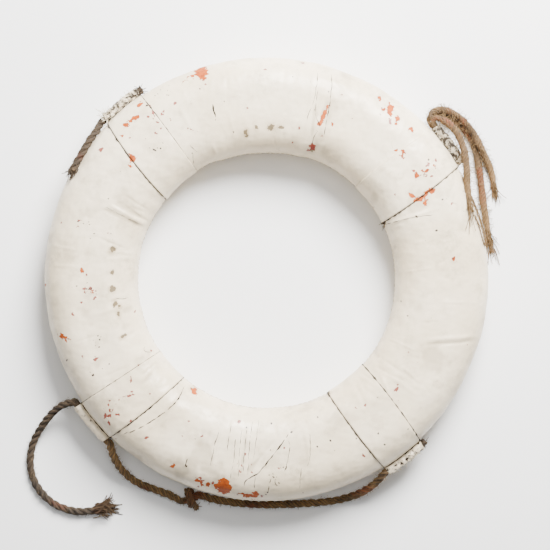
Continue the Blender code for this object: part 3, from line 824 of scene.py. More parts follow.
def rope_finish(name, lay, colours, rust_share, yarns=4.0):
    """Manila yarns with dirt and painted shade in the grooves between them, patches of rust, and a colour for
    frayed ends.
    """
    pale, tan, dark, rust, frayed = colours
    made, nodes, shader = new_finish(name, 0.85)
    point = nodes.place()
    strand = nodes.group(
        lay, Map=nodes.map("lay"), Point=point, Yarns=yarns, Slope=YARN_SLOPE, Shade=nodes.mask("shade")
    )
    colour = nodes.blend(nodes.step(strand["Fibre"], 0.3, 0.7), tan, pale)
    colour = nodes.blend(nodes.step(strand["Patch"], 0.44, 0.66, 0.0, 0.75), colour, dark)
    stain = nodes.noise(point, 17.0, 3.0, 0.55)
    colour = nodes.blend(nodes.step(stain, 0.60 - rust_share, 0.72 - rust_share, 0.0, 0.85), colour, rust)
    tone = nodes.times(nodes.mask("shade"), 0.4)
    colour = nodes.blend(tone, colour, dark)
    # Darker in the grooves between the yarns: dirt and painted shade
    colour = nodes.blend(nodes.times(strand["Groove"], 0.62), colour, rgb(0.045, 0.03, 0.018))
    colour = nodes.blend(nodes.mask("fray"), colour, frayed)
    feed_shader(
        nodes, shader, colour, nodes.step(strand["Fibre"], 0.3, 0.8, 0.95, 0.75), strand["Height"], 0.0009
    )
    return made


def fibre_finish(name, first, second):
    """Loose fibres, whose colour changes from place to place."""
    made, nodes, shader = new_finish(name, 0.8)
    point = nodes.place()
    colour = nodes.blend(nodes.step(nodes.noise(point, 140.0, 3.0, 0.6), 0.35, 0.65), first, second)
    feed_shader(nodes, shader, colour, None, nodes.noise(point, 900.0, 2.0), 0.0002)
    return made


def thread_finish():
    """Sail twine under old paint."""
    made, nodes, shader = new_finish("twine_finish", 0.6)
    point = nodes.place()
    colour = nodes.blend(
        nodes.step(nodes.noise(point, 120.0, 4.0), 0.4, 0.65), rgb(0.68, 0.61, 0.49), rgb(0.30, 0.24, 0.16)
    )
    feed_shader(nodes, shader, colour, None, nodes.noise(point, 1400.0, 3.0), 0.0004)
    return made


def crack_finish():
    """Dirt in the splits of the paint and along the bands' edges, and painted shade in the crease at each
    sleeve's neck.
    """
    made, nodes, shader = new_finish("crack_dirt_and_shade_finish", 0.95)
    point = nodes.place()
    shade = nodes.step(nodes.noise(point, 110.0, 4.0, 0.65), 0.38, 0.66)
    colour = nodes.blend(shade, rgb(0.012, 0.009, 0.006), rgb(0.07, 0.052, 0.035))
    feed_shader(nodes, shader, colour, None, nodes.noise(point, 1500.0, 3.0), 0.0004)
    return made


def scratch_finish():
    made, nodes, shader = new_finish("red_scratch_finish", 0.7)
    point = nodes.place()
    shade = nodes.step(nodes.noise(point, 220.0, 3.0), 0.4, 0.6)
    colour = nodes.blend(shade, rgb(0.36, 0.03, 0.02), rgb(0.55, 0.18, 0.13))
    feed_shader(nodes, shader, colour, None, nodes.noise(point, 900.0, 2.0), 0.0002)
    return made


def cork_finish():
    made, nodes, shader = new_finish("cork_finish", 0.95)
    point = nodes.place()
    grains = nodes.cells(point, 190.0, "F1", "Color")
    shade = nodes.node("ShaderNodeSeparateColor", {0: grains}).outputs[0]
    pores = nodes.step(nodes.cells(point, 75.0), 0.22, 0.08)
    colour = nodes.blend(shade, rgb(0.30, 0.17, 0.085), rgb(0.50, 0.31, 0.17))
    colour = nodes.blend(
        nodes.step(nodes.noise(point, 22.0, 4.0), 0.45, 0.7, 0.0, 0.5), colour, rgb(0.22, 0.12, 0.06)
    )
    colour = nodes.blend(pores, colour, rgb(0.09, 0.05, 0.03))
    height = nodes.maths("MULTIPLY_ADD", pores, -1.0, nodes.noise(point, 240.0, 4.0))
    feed_shader(nodes, shader, colour, None, height, 0.001)
    return made


def peg_finish():
    made, nodes, shader = new_finish("peg_wood_finish", 0.75)
    point = nodes.place()
    grain = nodes.noise(nodes.stretch(point, (300.0, 300.0, 14.0)), 1.0, 5.0, 0.6, 0.6)
    pores = nodes.step(nodes.noise(nodes.stretch(point, (900.0, 900.0, 30.0)), 1.0, 2.0), 0.62, 0.72)
    colour = nodes.blend(nodes.step(grain, 0.35, 0.68), rgb(0.56, 0.38, 0.21), rgb(0.34, 0.21, 0.11))
    colour = nodes.blend(nodes.times(pores, 0.6), colour, rgb(0.16, 0.09, 0.05))
    feed_shader(nodes, shader, colour, None, nodes.maths("SUBTRACT", grain, pores), 0.0004)
    return made


def floor_finish():
    made, nodes, shader = new_finish("pale_floor", 0.7)
    point = nodes.place()
    colour = nodes.blend(
        nodes.step(nodes.noise(point, 3.0, 3.0), 0.3, 0.7), rgb(0.86, 0.865, 0.87), rgb(0.89, 0.893, 0.895)
    )
    feed_shader(nodes, shader, colour, None, nodes.noise(point, 400.0, 2.0), 0.0001)
    return made


# ---- what Geometry Nodes repeat


def geometry_tree(name, inputs):
    tree = bpy.data.node_groups.new(name, "GeometryNodeTree")
    tree.interface.new_socket("Geometry", in_out="INPUT", socket_type="NodeSocketGeometry")
    for label, kind in inputs:
        tree.interface.new_socket(label, in_out="INPUT", socket_type=kind)
    tree.interface.new_socket("Geometry", in_out="OUTPUT", socket_type="NodeSocketGeometry")
    nodes = Nodes(tree)
    return tree, nodes, nodes.node("NodeGroupInput").outputs, nodes.node("NodeGroupOutput").inputs


def finish_instances(nodes, given, result, instances):
    real = nodes.node("GeometryNodeRealizeInstances", {0: instances}).outputs[0]
    dressed = nodes.node("GeometryNodeSetMaterial", {"Geometry": real, "Material": given["Material"]})
    nodes.feed(result[0], dressed.outputs[0])


def fibres_tree():
    """Bent, tapering fibres that stand out of a surface here and there."""
    inputs = [
        ("Density", VALUE), ("Length", VALUE), ("Thickness", VALUE), ("Tilt", VALUE),
        ("Seed", "NodeSocketInt"),
    ]
    tree, nodes, given, result = geometry_tree("loose_fibres", inputs + [("Material", "NodeSocketMaterial")])
    roots = nodes.node(
        "GeometryNodeDistributePointsOnFaces",
        {"Mesh": given["Geometry"], "Density": given["Density"], "Seed": given["Seed"]},
    ).outputs
    length = given["Length"]
    half = nodes.node("ShaderNodeCombineXYZ", {2: nodes.times(length, 0.55)}).outputs[0]
    tip = nodes.node(
        "ShaderNodeCombineXYZ", {
            0: nodes.times(length, 0.5), 2: nodes.times(length, 0.8)
        }
    ).outputs[0]
    stem = nodes.node(
        "GeometryNodeCurveQuadraticBezier", {
            "Resolution": 4, "Start": (0.0, 0.0, 0.0), "Middle": half, "End": tip
        }
    ).outputs[0]
    share = nodes.node("GeometryNodeSplineParameter").outputs["Factor"]
    taper = nodes.maths("MULTIPLY_ADD", share, -0.75, 1.0)
    tapered = nodes.node("GeometryNodeSetCurveRadius", {"Curve": stem, "Radius": taper}).outputs[0]
    outline = nodes.node(
        "GeometryNodeCurvePrimitiveCircle", {
            "Resolution": 3, "Radius": nodes.times(given["Thickness"], 0.5)
        }
    ).outputs[0]
    fibre = nodes.node(
        "GeometryNodeCurveToMesh", {"Curve": tapered, "Profile Curve": outline, "Fill Caps": True}
    )
    low = nodes.node(
        "ShaderNodeCombineXYZ",
        {0: nodes.times(given["Tilt"], -1.0), 1: nodes.times(given["Tilt"], -1.0)},
    )
    high = nodes.node("ShaderNodeCombineXYZ", {0: given["Tilt"], 1: given["Tilt"], 2: 2 * math.pi})
    lean = nodes.node(
        "FunctionNodeRandomValue",
        {0: low.outputs[0], 1: high.outputs[0], "Seed": given["Seed"]},
        data_type="FLOAT_VECTOR",
    ).outputs[0]
    turned = nodes.node(
        "FunctionNodeRotateRotation", {"Rotation": roots["Rotation"], "Rotate By": lean},
        rotation_space="LOCAL",
    ).outputs[0]
    size = nodes.node(
        "FunctionNodeRandomValue", {2: 0.45, 3: 1.5, "Seed": given["Seed"]}, data_type="FLOAT"
    ).outputs[1]
    scattered = nodes.node(
        "GeometryNodeInstanceOnPoints",
        {"Points": roots["Points"], "Instance": fibre.outputs[0], "Rotation": turned, "Scale": size},
    ).outputs[0]
    finish_instances(nodes, given, result, scattered)
    return tree


def stitches_tree():
    """A row of stitches along a line of edges, each a short slanting bead of twine."""
    inputs = [("Pitch", VALUE), ("Length", VALUE), ("Thickness", VALUE), ("Slant", VALUE)]
    tree, nodes, given, result = geometry_tree("stitch_row", inputs + [("Material", "NodeSocketMaterial")])
    line = nodes.node("GeometryNodeMeshToCurve", {"Mesh": given["Geometry"]}).outputs[0]
    marks = nodes.node(
        "GeometryNodeResampleCurve", {"Curve": line, "Length": given["Pitch"]}, mode="LENGTH"
    ).outputs[0]
    bead = nodes.node("GeometryNodeMeshUVSphere", {"Segments": 8, "Rings": 5, "Radius": 0.5}).outputs[0]
    way = nodes.node("GeometryNodeInputTangent").outputs[0]
    aligned = nodes.node("FunctionNodeAlignRotationToVector", {"Vector": way}, axis="X").outputs[0]
    slant = nodes.node("ShaderNodeCombineXYZ", {axis: given["Slant"] for axis in range(3)}).outputs[0]
    turned = nodes.node(
        "FunctionNodeRotateRotation", {"Rotation": aligned, "Rotate By": slant}, rotation_space="LOCAL"
    ).outputs[0]
    size = nodes.node(
        "ShaderNodeCombineXYZ", {0: given["Length"], 1: given["Thickness"], 2: given["Thickness"]}
    ).outputs[0]
    sewn = nodes.node(
        "GeometryNodeInstanceOnPoints", {"Points": marks, "Instance": bead, "Rotation": turned, "Scale": size}
    ).outputs[0]
    finish_instances(nodes, given, result, sewn)
    return tree


def grow(name, guide, tree, **values):
    """The plain mesh that a tree makes on a guide object. The guide keeps no modifier."""
    modifier = guide.modifiers.new("grow", "NODES")
    modifier.node_group = tree
    for item in tree.interface.items_tree:
        if item.in_out == "INPUT" and item.name in values:
            modifier[item.identifier] = values[item.name]
    bpy.context.view_layer.update()
    seen = guide.evaluated_get(bpy.context.evaluated_depsgraph_get())
    mesh = bpy.data.meshes.new_from_object(seen)
    mesh.name = name
    guide.modifiers.remove(modifier)
    mesh.shade_smooth()
    places = np.zeros(len(mesh.vertices) * 3)
    mesh.vertices.foreach_get("co", places)
    places[2::3] = np.maximum(places[2::3], FLOOR_GAP)
    mesh.vertices.foreach_set("co", places)
    return add_object(name, mesh)


def line_guide(name, line):
    mesh = bpy.data.meshes.new(name)
    mesh.from_pydata(
        [tuple(place) for place in line], [(count, count + 1) for count in range(len(line) - 1)], []
    )
    return add_object(name, mesh)


def drop(guide):
    bpy.data.objects.remove(guide, do_unlink=True)


# ---- ropes


def laid_rope(bundle, line, diameter, pitch, strands, phase=0.0, sides=14, swell=None, seed=0, fray=None):
    """Strands twisted round a line. swell is each point's share of the full diameter."""
    swell = np.ones(len(line)) if swell is None else swell
    fray = np.zeros(len(line)) if fray is None else fray
    first, second = frames_along(line)
    reach = reach_along(line)
    share = 1 / (1 + 1 / math.sin(math.pi / strands))
    radius = diameter / 2 * share * 1.06
    offset = diameter / 2 - radius
    draw = np.random.default_rng(seed)
    for count in range(strands):
        turn = phase + 2 * math.pi * (reach / pitch + count / strands)
        wander = 1 + 0.05 * np.sin(reach * draw.uniform(90, 160) + draw.uniform(0, 6))
        out = (offset * swell * wander)[:, None]
        middle = line + out * (np.cos(turn)[:, None] * first + np.sin(turn)[:, None] * second)
        fat = 1 + 0.06 * np.sin(reach * draw.uniform(110, 220) + draw.uniform(0, 6))
        radii = radius * swell * fat
        bundle.add(middle, radii, sides, draw.uniform(0, 1), fray)


def yarn_paths(start, way, count, length, spread, clearance, seed, droop=0.5, curl=0.12, root_size=0.0012):
    """Loose yarns that fan out from the end of a strand and settle on whatever is under them."""
    draw = np.random.default_rng(seed)
    way = way / np.linalg.norm(way)
    paths = []
    for _ in range(count):
        outward_way = way + draw.normal(0, spread, 3)
        outward_way /= np.linalg.norm(outward_way)
        reach = length * draw.uniform(0.45, 1.1)
        steps = np.linspace(0, 1, 11)[:, None]
        bend = draw.normal(0, curl, 3) * np.array([1, 1, 0.5])
        root = start + draw.normal(0, root_size, 3) - way * 0.006
        path = root + outward_way * reach * steps + bend * reach * steps**2
        path = path + np.array([0, 0, -droop * reach]) * steps**2
        path += np.sin(steps * draw.uniform(5, 11) + draw.uniform(0, 6)) * draw.normal(0, 0.0009, 3) * steps
        paths.append(rest_outside(path, clearance))
    return paths


def add_yarns(bundle, paths, thickness, seed, fray=0.6):
    draw = np.random.default_rng(seed)
    taper = np.linspace(1, 0.5, 11)
    for path in paths:
        width = thickness * draw.uniform(0.6, 1.3) / 2
        bundle.add(path, width * taper, 5, draw.uniform(0, 1), fray * np.linspace(0.4, 1, 11))


def add_brush(bundle, start, way, fan, thickness, seed, fray):
    """Yarns that fan out from one point. fan holds what yarn_paths takes after the start and the way."""
    add_yarns(bundle, yarn_paths(start, way, *fan), thickness, seed, fray)


def held_line(place, before, after):
    """The rope's line inside a sleeve, from its clockwise end, with these lengths beyond the two mouths."""
    turn = math.radians(BAND_ANGLES[place])
    half = BAND_WIDTH / 2
    start = turn - math.asin((half + before) / SLEEVE_RING_RADIUS)
    end = turn + math.asin((half + after) / SLEEVE_RING_RADIUS)
    turns = np.linspace(start, end, 56)
    return ring_places(turns, SLEEVE_RING_RADIUS - TUBE_RADIUS, 0.0)


# How far each held rope goes beyond its sleeve's two mouths
HELD = {
    "upper_right": (-0.004, -0.001),
    "upper_left": (0.007, -0.006),
    "lower_left": (-0.006, -0.006),
    "lower_right": (-0.006, 0.007),
}


def tail_swell(line, end_share):
    """A little uneven all along, and loosened over the last stretch."""
    share = np.linspace(0, 1, len(line))
    return 1 + 0.03 * np.sin(share * 31) + (end_share - 1) * smooth_step(share, 0.9, 1.0)


def build_ropes(looks):
    """The ropes that hang free of the sleeves."""
    cords = {}
    upper = [sleeve_mouth("upper_left", 1, beyond) for beyond in (INSIDE_SLEEVE, STRAIGHT_START)]
    upper += [on_edge(angle, climb, ROPE_DIAMETER) for angle, climb in TAIL_UPPER_LEFT]
    lower = [sleeve_mouth("lower_left", -1, beyond) for beyond in (INSIDE_SLEEVE, STRAIGHT_START)]
    lower += [on_ring(*point) for point in TAIL_LOWER_LEFT]
    span = [sleeve_mouth("lower_left", 1, beyond) for beyond in (INSIDE_SLEEVE, STRAIGHT_START)]
    span += [on_ring(*point) for point in SPAN_TO_KNOT]
    span += [
        knot_face(-1, STRAIGHT_START), knot_face(-1, -0.002), knot_face(1, -0.002),
        knot_face(1, STRAIGHT_START),
    ]
    span += [on_ring(*point) for point in SPAN_FROM_KNOT]
    span += [sleeve_mouth("lower_right", -1, beyond) for beyond in (STRAIGHT_START, INSIDE_SLEEVE)]
    for name, points, finish, end_share, phase in (
        ("rope_tail_upper_left", upper, looks["dark_rope"], 1.12, 0.4),
        ("rope_tail_lower_left", lower, looks["dark_rope"], 1.10, 1.7),
        ("rope_span", span, looks["rope"], 1.0, 0.9),
    ):
        line = smooth_line(points, LINE_SPACING)
        bundle = Bundle()
        fray = smooth_step(np.linspace(0, 1, len(line)), 0.93, 1.0) * (0.0 if name == "rope_span" else 0.5)
        laid_rope(
            bundle, line, ROPE_DIAMETER * 1.02, ROPE_PITCH, 3, phase, 18, tail_swell(line, end_share), 7,
            fray,
        )
        cords[name] = (bundle.piece("laid_" + name, finish), line)
    return cords


def build_strands(looks):
    """The three strands of the worn rope, unlaid where they leave the upper right sleeve."""
    lift = MID_HEIGHT / MM
    inner = [on_ring(angle, out, lift + height) for angle, out, height in STRAND_INNER]
    inner += [on_edge(angle, climb, STRAND_DIAMETER) for angle, climb in STRAND_INNER_END]
    made = {}
    for name, free_points, turn, seed in (
        ("rope_strand_outer", [on_ring(*point) for point in STRAND_OUTER], -30, 3),
        ("rope_strand_middle", [on_ring(*point) for point in STRAND_MIDDLE], 210, 4),
        ("rope_strand_inner", inner, 90, 5),
    ):
        out, up = math.cos(math.radians(turn)), math.sin(math.radians(turn))
        straight = [
            sleeve_mouth("upper_right", 1, beyond, out * spread, up * spread)
            for beyond, spread in ((-0.001, STRAND_SPREAD), (STRAIGHT_START, 1.4 * STRAND_SPREAD))
        ]
        line = smooth_line(straight + free_points, LINE_SPACING)
        share = np.linspace(0, 1, len(line))
        swell = 0.62 + 0.74 * smooth_step(share, 0.0, 0.2) + 0.06 * np.sin(share * 37 + seed)
        swell *= 1 - 0.35 * smooth_step(share, 0.9, 1.0)
        bundle = Bundle()
        fray = 0.75 * smooth_step(share, 0.62, 1.0)
        laid_rope(bundle, line, STRAND_DIAMETER, STRAND_PITCH, 5, seed, 10, swell, seed, fray)
        finish = looks["rust_strand"] if name.endswith("middle") else looks["strand"]
        made[name] = (bundle.piece("loose_" + name, finish), line)
    return made


def end_way(line):
    return line[-1] - line[-5]


def build_frays(looks, ropes, strands):
    """Opened-out yarns at the ropes' ends, by the rope they belong to."""
    frays = {}
    for name, finish, fan, thickness, seed, fray in (
        ("tail_lower_left", "dark_rope", (190, 0.026, 0.15, 0.0014, 11, 0.08, 0.3, 0.0042), 0.0024, 12, 0.75),
        ("tail_upper_left", "dark_rope", (60, 0.017, 0.3, 0.003, 13, 0.3, 0.3, 0.003), 0.002, 14, 0.3),
        ("strand_outer", "strand", (44, 0.034, 0.14, 0.0024, 21, 0.18, 0.2, 0.0026), 0.0017, 21, 0.9),
        ("strand_middle", "strand", (60, 0.046, 0.14, 0.0024, 22, 0.18, 0.2, 0.0026), 0.0015, 22, 0.9),
        ("strand_inner", "strand", (36, 0.052, 0.12, 0.0024, 23, 0.18, 0.2, 0.0026), 0.0016, 23, 0.9),
    ):
        line = {**ropes, **strands}["rope_" + name][1]
        bundle = Bundle()
        add_brush(bundle, line[-1], end_way(line), fan, thickness, seed, fray)
        frays["rope_" + name] = bundle.piece("fray_" + name, looks[finish])
    return frays


def build_yarn_loop(looks):
    """One thin yarn pulled out of the inner strand, lying in a long loop on the ring's edge."""
    ways = [
        (27.5, 26), (25.0, 31), (22.0, 30), (18.5, 27), (14.5, 24), (11.0, 22), (8.6, 24), (9.4, 29),
        (13.0, 33), (17.0, 36),
    ]
    line = smooth_line([on_edge(angle, climb, 0.0042) for angle, climb in ways], 0.002)
    bundle = Bundle()
    laid_rope(bundle, line, 0.0026, 0.012, 2, 0.0, 6, None, 41, np.full(len(line), 0.5))
    ways = [(26.0, 22), (22.4, 24), (18.0, 20), (13.6, 16), (10.2, 12), (7.6, 8)]
    line = smooth_line([on_edge(angle, climb, 0.0042) for angle, climb in ways], 0.002)
    laid_rope(bundle, line, 0.0024, 0.012, 2, 1.0, 6, None, 42, np.full(len(line), 0.5))
    return bundle.piece("yarn_loop", looks["strand"])


def build_held_ropes(looks):
    held = {}
    for place, (before, after) in HELD.items():
        line = held_line(place, before, after)
        bundle = Bundle()
        laid_rope(bundle, line, ROPE_DIAMETER, ROPE_PITCH, 3, 0.4, 16, None, 9)
        finish = looks["dark_rope"] if place in ("upper_left", "lower_right") else looks["rope"]
        held[place] = bundle.piece(f"rope_held_in_{place}", finish)
    return held


def build_stub_frays(looks):
    """Short dark fibres on the two rope ends that were cut off just outside their sleeves."""
    made = []
    for name, place, side, seed in (
        ("cut_end_upper_left", "upper_left", -1, 51), ("cut_end_lower_right", "lower_right", 1, 52)
    ):
        bundle = Bundle()
        start = sleeve_mouth(place, side, 0.006)
        way = sleeve_mouth(place, side, 0.02) - start
        add_brush(bundle, start, way, (46, 0.010, 0.55, 0.002, seed, 0.1, 0.4), 0.0019, seed, 0.1)
        made.append(bundle.piece(name, looks["dark_rope"]))
    return made


def sleeve_guide(place):
    """A plain tube over the sleeve, for its loose threads to stand on."""
    bundle = Bundle()
    bundle.add(held_line(place, -0.002, -0.002), SLEEVE_RADIUS, 12)
    return bundle.piece("sleeve_guide", None)


def build_torn_canvas(looks, tree):
    """Threads of worn canvas standing off the three sleeves that are worn through."""
    torn = []
    for place, density, length, seed in (
        ("upper_right", 42000.0, 0.0075, 1),
        ("upper_left", 30000.0, 0.006, 2),
        ("lower_right", 26000.0, 0.005, 3),
    ):
        guide = sleeve_guide(place)
        threads = grow(
            f"torn_threads_{place}", guide, tree, Density=density, Length=length, Thickness=0.0006, Tilt=1.35,
            Seed=seed, Material=looks["torn_canvas"],
        )
        torn.append(threads)
        drop(guide)
    return torn


def build_tufts(looks):
    """Torn canvas at the upper left sleeve's mouth, and dark fibres where a band's edge ends in the hole."""
    outward = heading(BAND_ANGLES["upper_left"], 0.35)
    mouth = sleeve_mouth("upper_left", 1, -0.005) + outward * 0.005
    along = sleeve_mouth("upper_left", 1, 0.01) - sleeve_mouth("upper_left", 1, 0.0)
    pale = Bundle()
    fanned = outward + 30 * along
    add_brush(pale, mouth, fanned, (60, 0.013, 0.5, 0.003, 55, 0.1, 0.5, 0.0028), 0.0013, 56, 0.9)
    corner = ring_places(math.radians(FRAYED_CORNER_ANGLE), -HALF_WIDTH - 0.001, 0.014)
    dark = Bundle()
    inward = -heading(FRAYED_CORNER_ANGLE, -0.6)
    add_brush(dark, corner, inward, (34, 0.009, 0.7, 0.001, 57, 0.2, 0.4, 0.002), 0.0011, 58, 0.1)
    tuft = pale.piece("torn_canvas_tuft", looks["torn_canvas"])
    return tuft, dark.piece("frayed_band_corner", looks["dark_rope"])


def build_knot(looks):
    """One turn of rope hauled tight round the span, with its short end left standing."""
    along = heading(KNOT_HEADING)
    over = np.array([-along[1], along[0], 0])
    centre = on_ring(*KNOT_PLACE)
    centre[2] = 0.0
    turn = [
        (-0.0035, -0.004, 0.0068), (-0.0030, 0.0095, 0.0075), (-0.0015, 0.0150, 0.0125),
        (0.0000, 0.0105, 0.0182), (0.0010, 0.0010, 0.0196), (0.0015, -0.0085, 0.0178),
        (0.0022, -0.0140, 0.0118), (0.0036, -0.0182, 0.0080), (0.0052, -0.0215, 0.0070),
    ]
    hitch = [
        (0.0052, 0.0060, 0.0060), (0.0050, 0.0120, 0.0090), (0.0022, 0.0130, 0.0150),
        (-0.0026, 0.0068, 0.0205), (-0.0048, -0.0040, 0.0200), (-0.0052, -0.0118, 0.0138),
        (-0.0046, -0.0140, 0.0070),
    ]
    bundle = Bundle()
    for points, diameter, seed in ((turn, 0.0112, 61), (hitch, 0.0078, 62)):
        line = smooth_line(
            [centre + along * a + over * b + np.array([0, 0, c]) for a, b, c in points], 0.0012
        )
        laid_rope(bundle, line, diameter, 0.03, 3, 0.5, 12, None, seed)
    end = centre + along * 0.0052 + over * -0.0215 + np.array([0, 0, 0.0070])
    way = -over + along * 0.5
    add_brush(bundle, end, way, (30, 0.009, 0.4, 0.0012, 63, 0.2, 0.3), 0.0016, 64, 0.2)
    return bundle.piece("knot_in_span", looks["knot"])


# ---- canvas


def hollow_dirt_and_shade_mask(relief):
    """How far a point lies in a hollow, darkened there for dirt and as painted shade: 0 on top and 1 at the
    bottom of a fold.
    """
    return smooth_step(-relief / MM, -0.1, 1.0)


SPARE_RED = random_marks(71, 46, 1.4, 2.6)
SPARE_DARK = random_marks(72, 60, 1.2, 2.2)

# How much wider and longer the listed marks are than their written sizes
CHIP_SPREAD, RED_SPREAD, STAIN_SPREAD, DOT_SPREAD = 1.6, 1.25, 1.15, 1.3


def speck_groups(groups, narrow, tall, lean):
    """Specks scattered about some middles: angle, radius, reach in mm, size, count and seed of each group."""
    specks = []
    for angle, radius, spread, size, count, seed in groups:
        sides = np.random.default_rng(seed).normal(0, spread / narrow, count)
        outs = np.random.default_rng(seed + 50).normal(0, spread, count)
        specks += [(angle + side, radius + out, size, size * tall, lean) for side, out in zip(sides, outs)]
    return specks


DARK_GROUPS = speck_groups(
    [
        (130.0, 290, 9, 1.9, 15, 81), (119.0, 364, 8, 1.6, 12, 82), (166.5, 290, 11, 1.7, 10, 83),
        (200.2, 311, 11, 1.9, 12, 84), (182.6, 305, 9, 2.2, 10, 85), (207.6, 318, 12, 1.9, 10, 86),
        (272.0, 344, 12, 2.1, 12, 87), (164.0, 330, 10, 1.6, 8, 88), (22.5, 330, 10, 1.7, 6, 89),
    ],
    6, 1.3, 20,
)
RED_GROUPS = speck_groups(
    [
        (34.0, 330, 12, 2.2, 12, 91), (220.6, 345, 10, 2.4, 12, 92), (183.6, 300, 6, 2.2, 9, 93),
        (252.6, 360, 9, 2.4, 9, 94), (107.6, 362, 10, 2.2, 8, 95), (54.0, 350, 9, 2.2, 8, 96),
        (263.5, 320, 14, 1.9, 9, 97), (124.2, 330, 18, 2.0, 10, 98),
    ],
    7, 1.5, 30,
)


def larger(marks, share):
    """The same marks, each so much longer and wider."""
    return [(angle, radius, along * share, over * share, lean) for angle, radius, along, over, lean in marks]


def mark_masks(places):
    return {
        "chip": mark_depth(places, larger(ORANGE_CHIPS, CHIP_SPREAD)),
        "red": mark_depth(places, larger(RED_MARKS, RED_SPREAD) + RED_GROUPS + SPARE_RED),
        "stain": mark_depth(places, larger(BROWN_SPOTS, STAIN_SPREAD), -12.0),
        "dark": mark_depth(places, larger(DARK_DOTS, DOT_SPREAD) + DARK_GROUPS + SPARE_DARK),
    }


COVER_ROWS, COVER_COLUMNS, BAND_ROWS = 300, 236, 46


def build_cover(name, start, end, finish):
    rows, columns = COVER_ROWS, COVER_COLUMNS
    turns = np.radians(np.linspace(start + 0.02, end - 0.02, rows))[:, None]
    lengths = np.linspace(0, PERIMETER, columns, endpoint=False)[None, :]
    across, up, out, rise = section_at(lengths)
    places = ring_places(turns + 0 * across, across + 0 * turns, up)
    relief = canvas_relief(turns + 0 * across, across + 0 * turns, places)
    facing = np.stack([out * np.cos(turns), out * np.sin(turns), rise + 0 * turns], axis=-1)
    moved = places + facing * relief[..., None]
    uvs = np.zeros((rows, columns + 1, 2))
    uvs[..., 0] = np.linspace(0, PERIMETER, columns + 1)[None, :]
    uvs[..., 1] = turns * TUBE_RADIUS
    masks = mark_masks(moved)
    # Darker in the folds' hollows: dirt and painted shade
    masks["hollow_dirt_and_shade"] = hollow_dirt_and_shade_mask(relief)
    mesh = grid_mesh(f"painted_cover_{name}", moved, uvs, masks, True)
    return add_object(f"painted_cover_{name}", mesh, finish)


# Points across a band's section: on each face of the ring, and round the rope
FACE_POINTS, SLEEVE_POINTS = 118, 34


def band_section():
    """The way round a band: over the ring, round the rope and back under.

    Gives (across, up), the outward directions, and 1 for each point of the sleeve.
    """
    rim = 0.5 * PERIMETER
    neck, hem = 0.0042, 0.0006
    upper = np.linspace(hem, rim - neck, FACE_POINTS)
    lower = np.linspace(rim + neck, PERIMETER - hem, FACE_POINTS)
    ring_centre = SLEEVE_RING_RADIUS - TUBE_RADIUS
    opening = 0.36
    turns = np.linspace(math.pi - opening, -math.pi + opening, SLEEVE_POINTS)
    sleeve = np.stack([ring_centre + SLEEVE_RADIUS * np.cos(turns), SLEEVE_RADIUS * np.sin(turns)], axis=1)
    pieces, ways, shares = [], [], []
    for lengths in (upper, None, lower):
        if lengths is None:
            pieces.append(sleeve)
            ways.append(np.stack([np.cos(turns), np.sin(turns)], axis=1))
            shares.append(np.ones(len(turns)))
        else:
            across, up, out, rise = section_at(lengths)
            ways.append(np.stack([out, rise], axis=1))
            pieces.append(np.stack([across + out * BAND_STAND, up + rise * BAND_STAND], axis=1))
            shares.append(np.zeros(len(lengths)))
    return np.concatenate(pieces), np.concatenate(ways), np.concatenate(shares)


WORN_SHARES = {"upper_right": 0.86, "upper_left": 0.62, "lower_left": 0.3, "lower_right": 0.46}


def edge_angle(edge, radius):
    """The angle of a band's edge at this radius, in degrees."""
    rim, hole = edge
    share = np.clip((OUTER_RADIUS - radius) / (OUTER_RADIUS - HOLE_RADIUS), -0.15, 1.05)
    return rim + (hole - rim) * share


def build_band(place, finish):
    profile, ways, sleeve = band_section()
    columns, rows = len(profile), BAND_ROWS
    radius = TUBE_RADIUS + profile[:, 0]
    low, high = (edge_angle(edge, radius) for edge in BAND_EDGES[place])
    share = np.linspace(0, 1, rows)[:, None]
    degrees = low + (high - low) * share
    turns = np.radians(degrees)
    across = profile[:, 0] + 0 * share
    places = ring_places(turns, across, profile[:, 1])
    relief = canvas_relief(turns, across, places) * (1 - sleeve)
    own = 0.12 * MM * soft_noise(places, 0.02, 8) + 0.3 * MM * soft_noise(places, 0.011, 9) * sleeve
    own += 0.4 * MM * sleeve * np.sin(turns * SLEEVE_RING_RADIUS / ROPE_PITCH * 2 * math.pi * 3)
    own += 0.9 * MM * sleeve * WORN_SHARES[place] * soft_noise(places, 0.0065, 10)
    own -= 0.35 * MM * (smooth_step(np.abs(share - 0.5), 0.47, 0.5)) * (1 - sleeve)
    lift = relief + own
    facing = np.stack(
        [ways[:, 0] * np.cos(turns), ways[:, 0] * np.sin(turns), ways[:, 1] + 0 * turns], axis=-1
    )
    moved = places + facing * lift[..., None]
    moved[..., 2] = np.maximum(moved[..., 2], BAND_FLOOR_GAP)
    travelled = reach_along(profile)
    uvs = np.zeros((rows, columns, 2))
    uvs[..., 0] = travelled[None, :]
    uvs[..., 1] = turns * TUBE_RADIUS
    masks = mark_masks(moved)
    # Darker in the folds' hollows and along the band's two edges: dirt and painted shade
    masks["hollow_dirt_and_shade"] = np.maximum(
        hollow_dirt_and_shade_mask(relief), 0.7 * smooth_step(np.abs(share - 0.5), 0.455, 0.5) + 0 * relief
    )
    masks["worn"] = sleeve * WORN_SHARES[place] + 0 * share
    mesh = grid_mesh(f"band_{place}", moved, uvs, masks, False)
    band = add_object(f"band_{place}", mesh, finish)
    wall = band.modifiers.new("wall", "SOLIDIFY")
    wall.thickness = BAND_WALL
    wall.offset = -1
    return band, moved


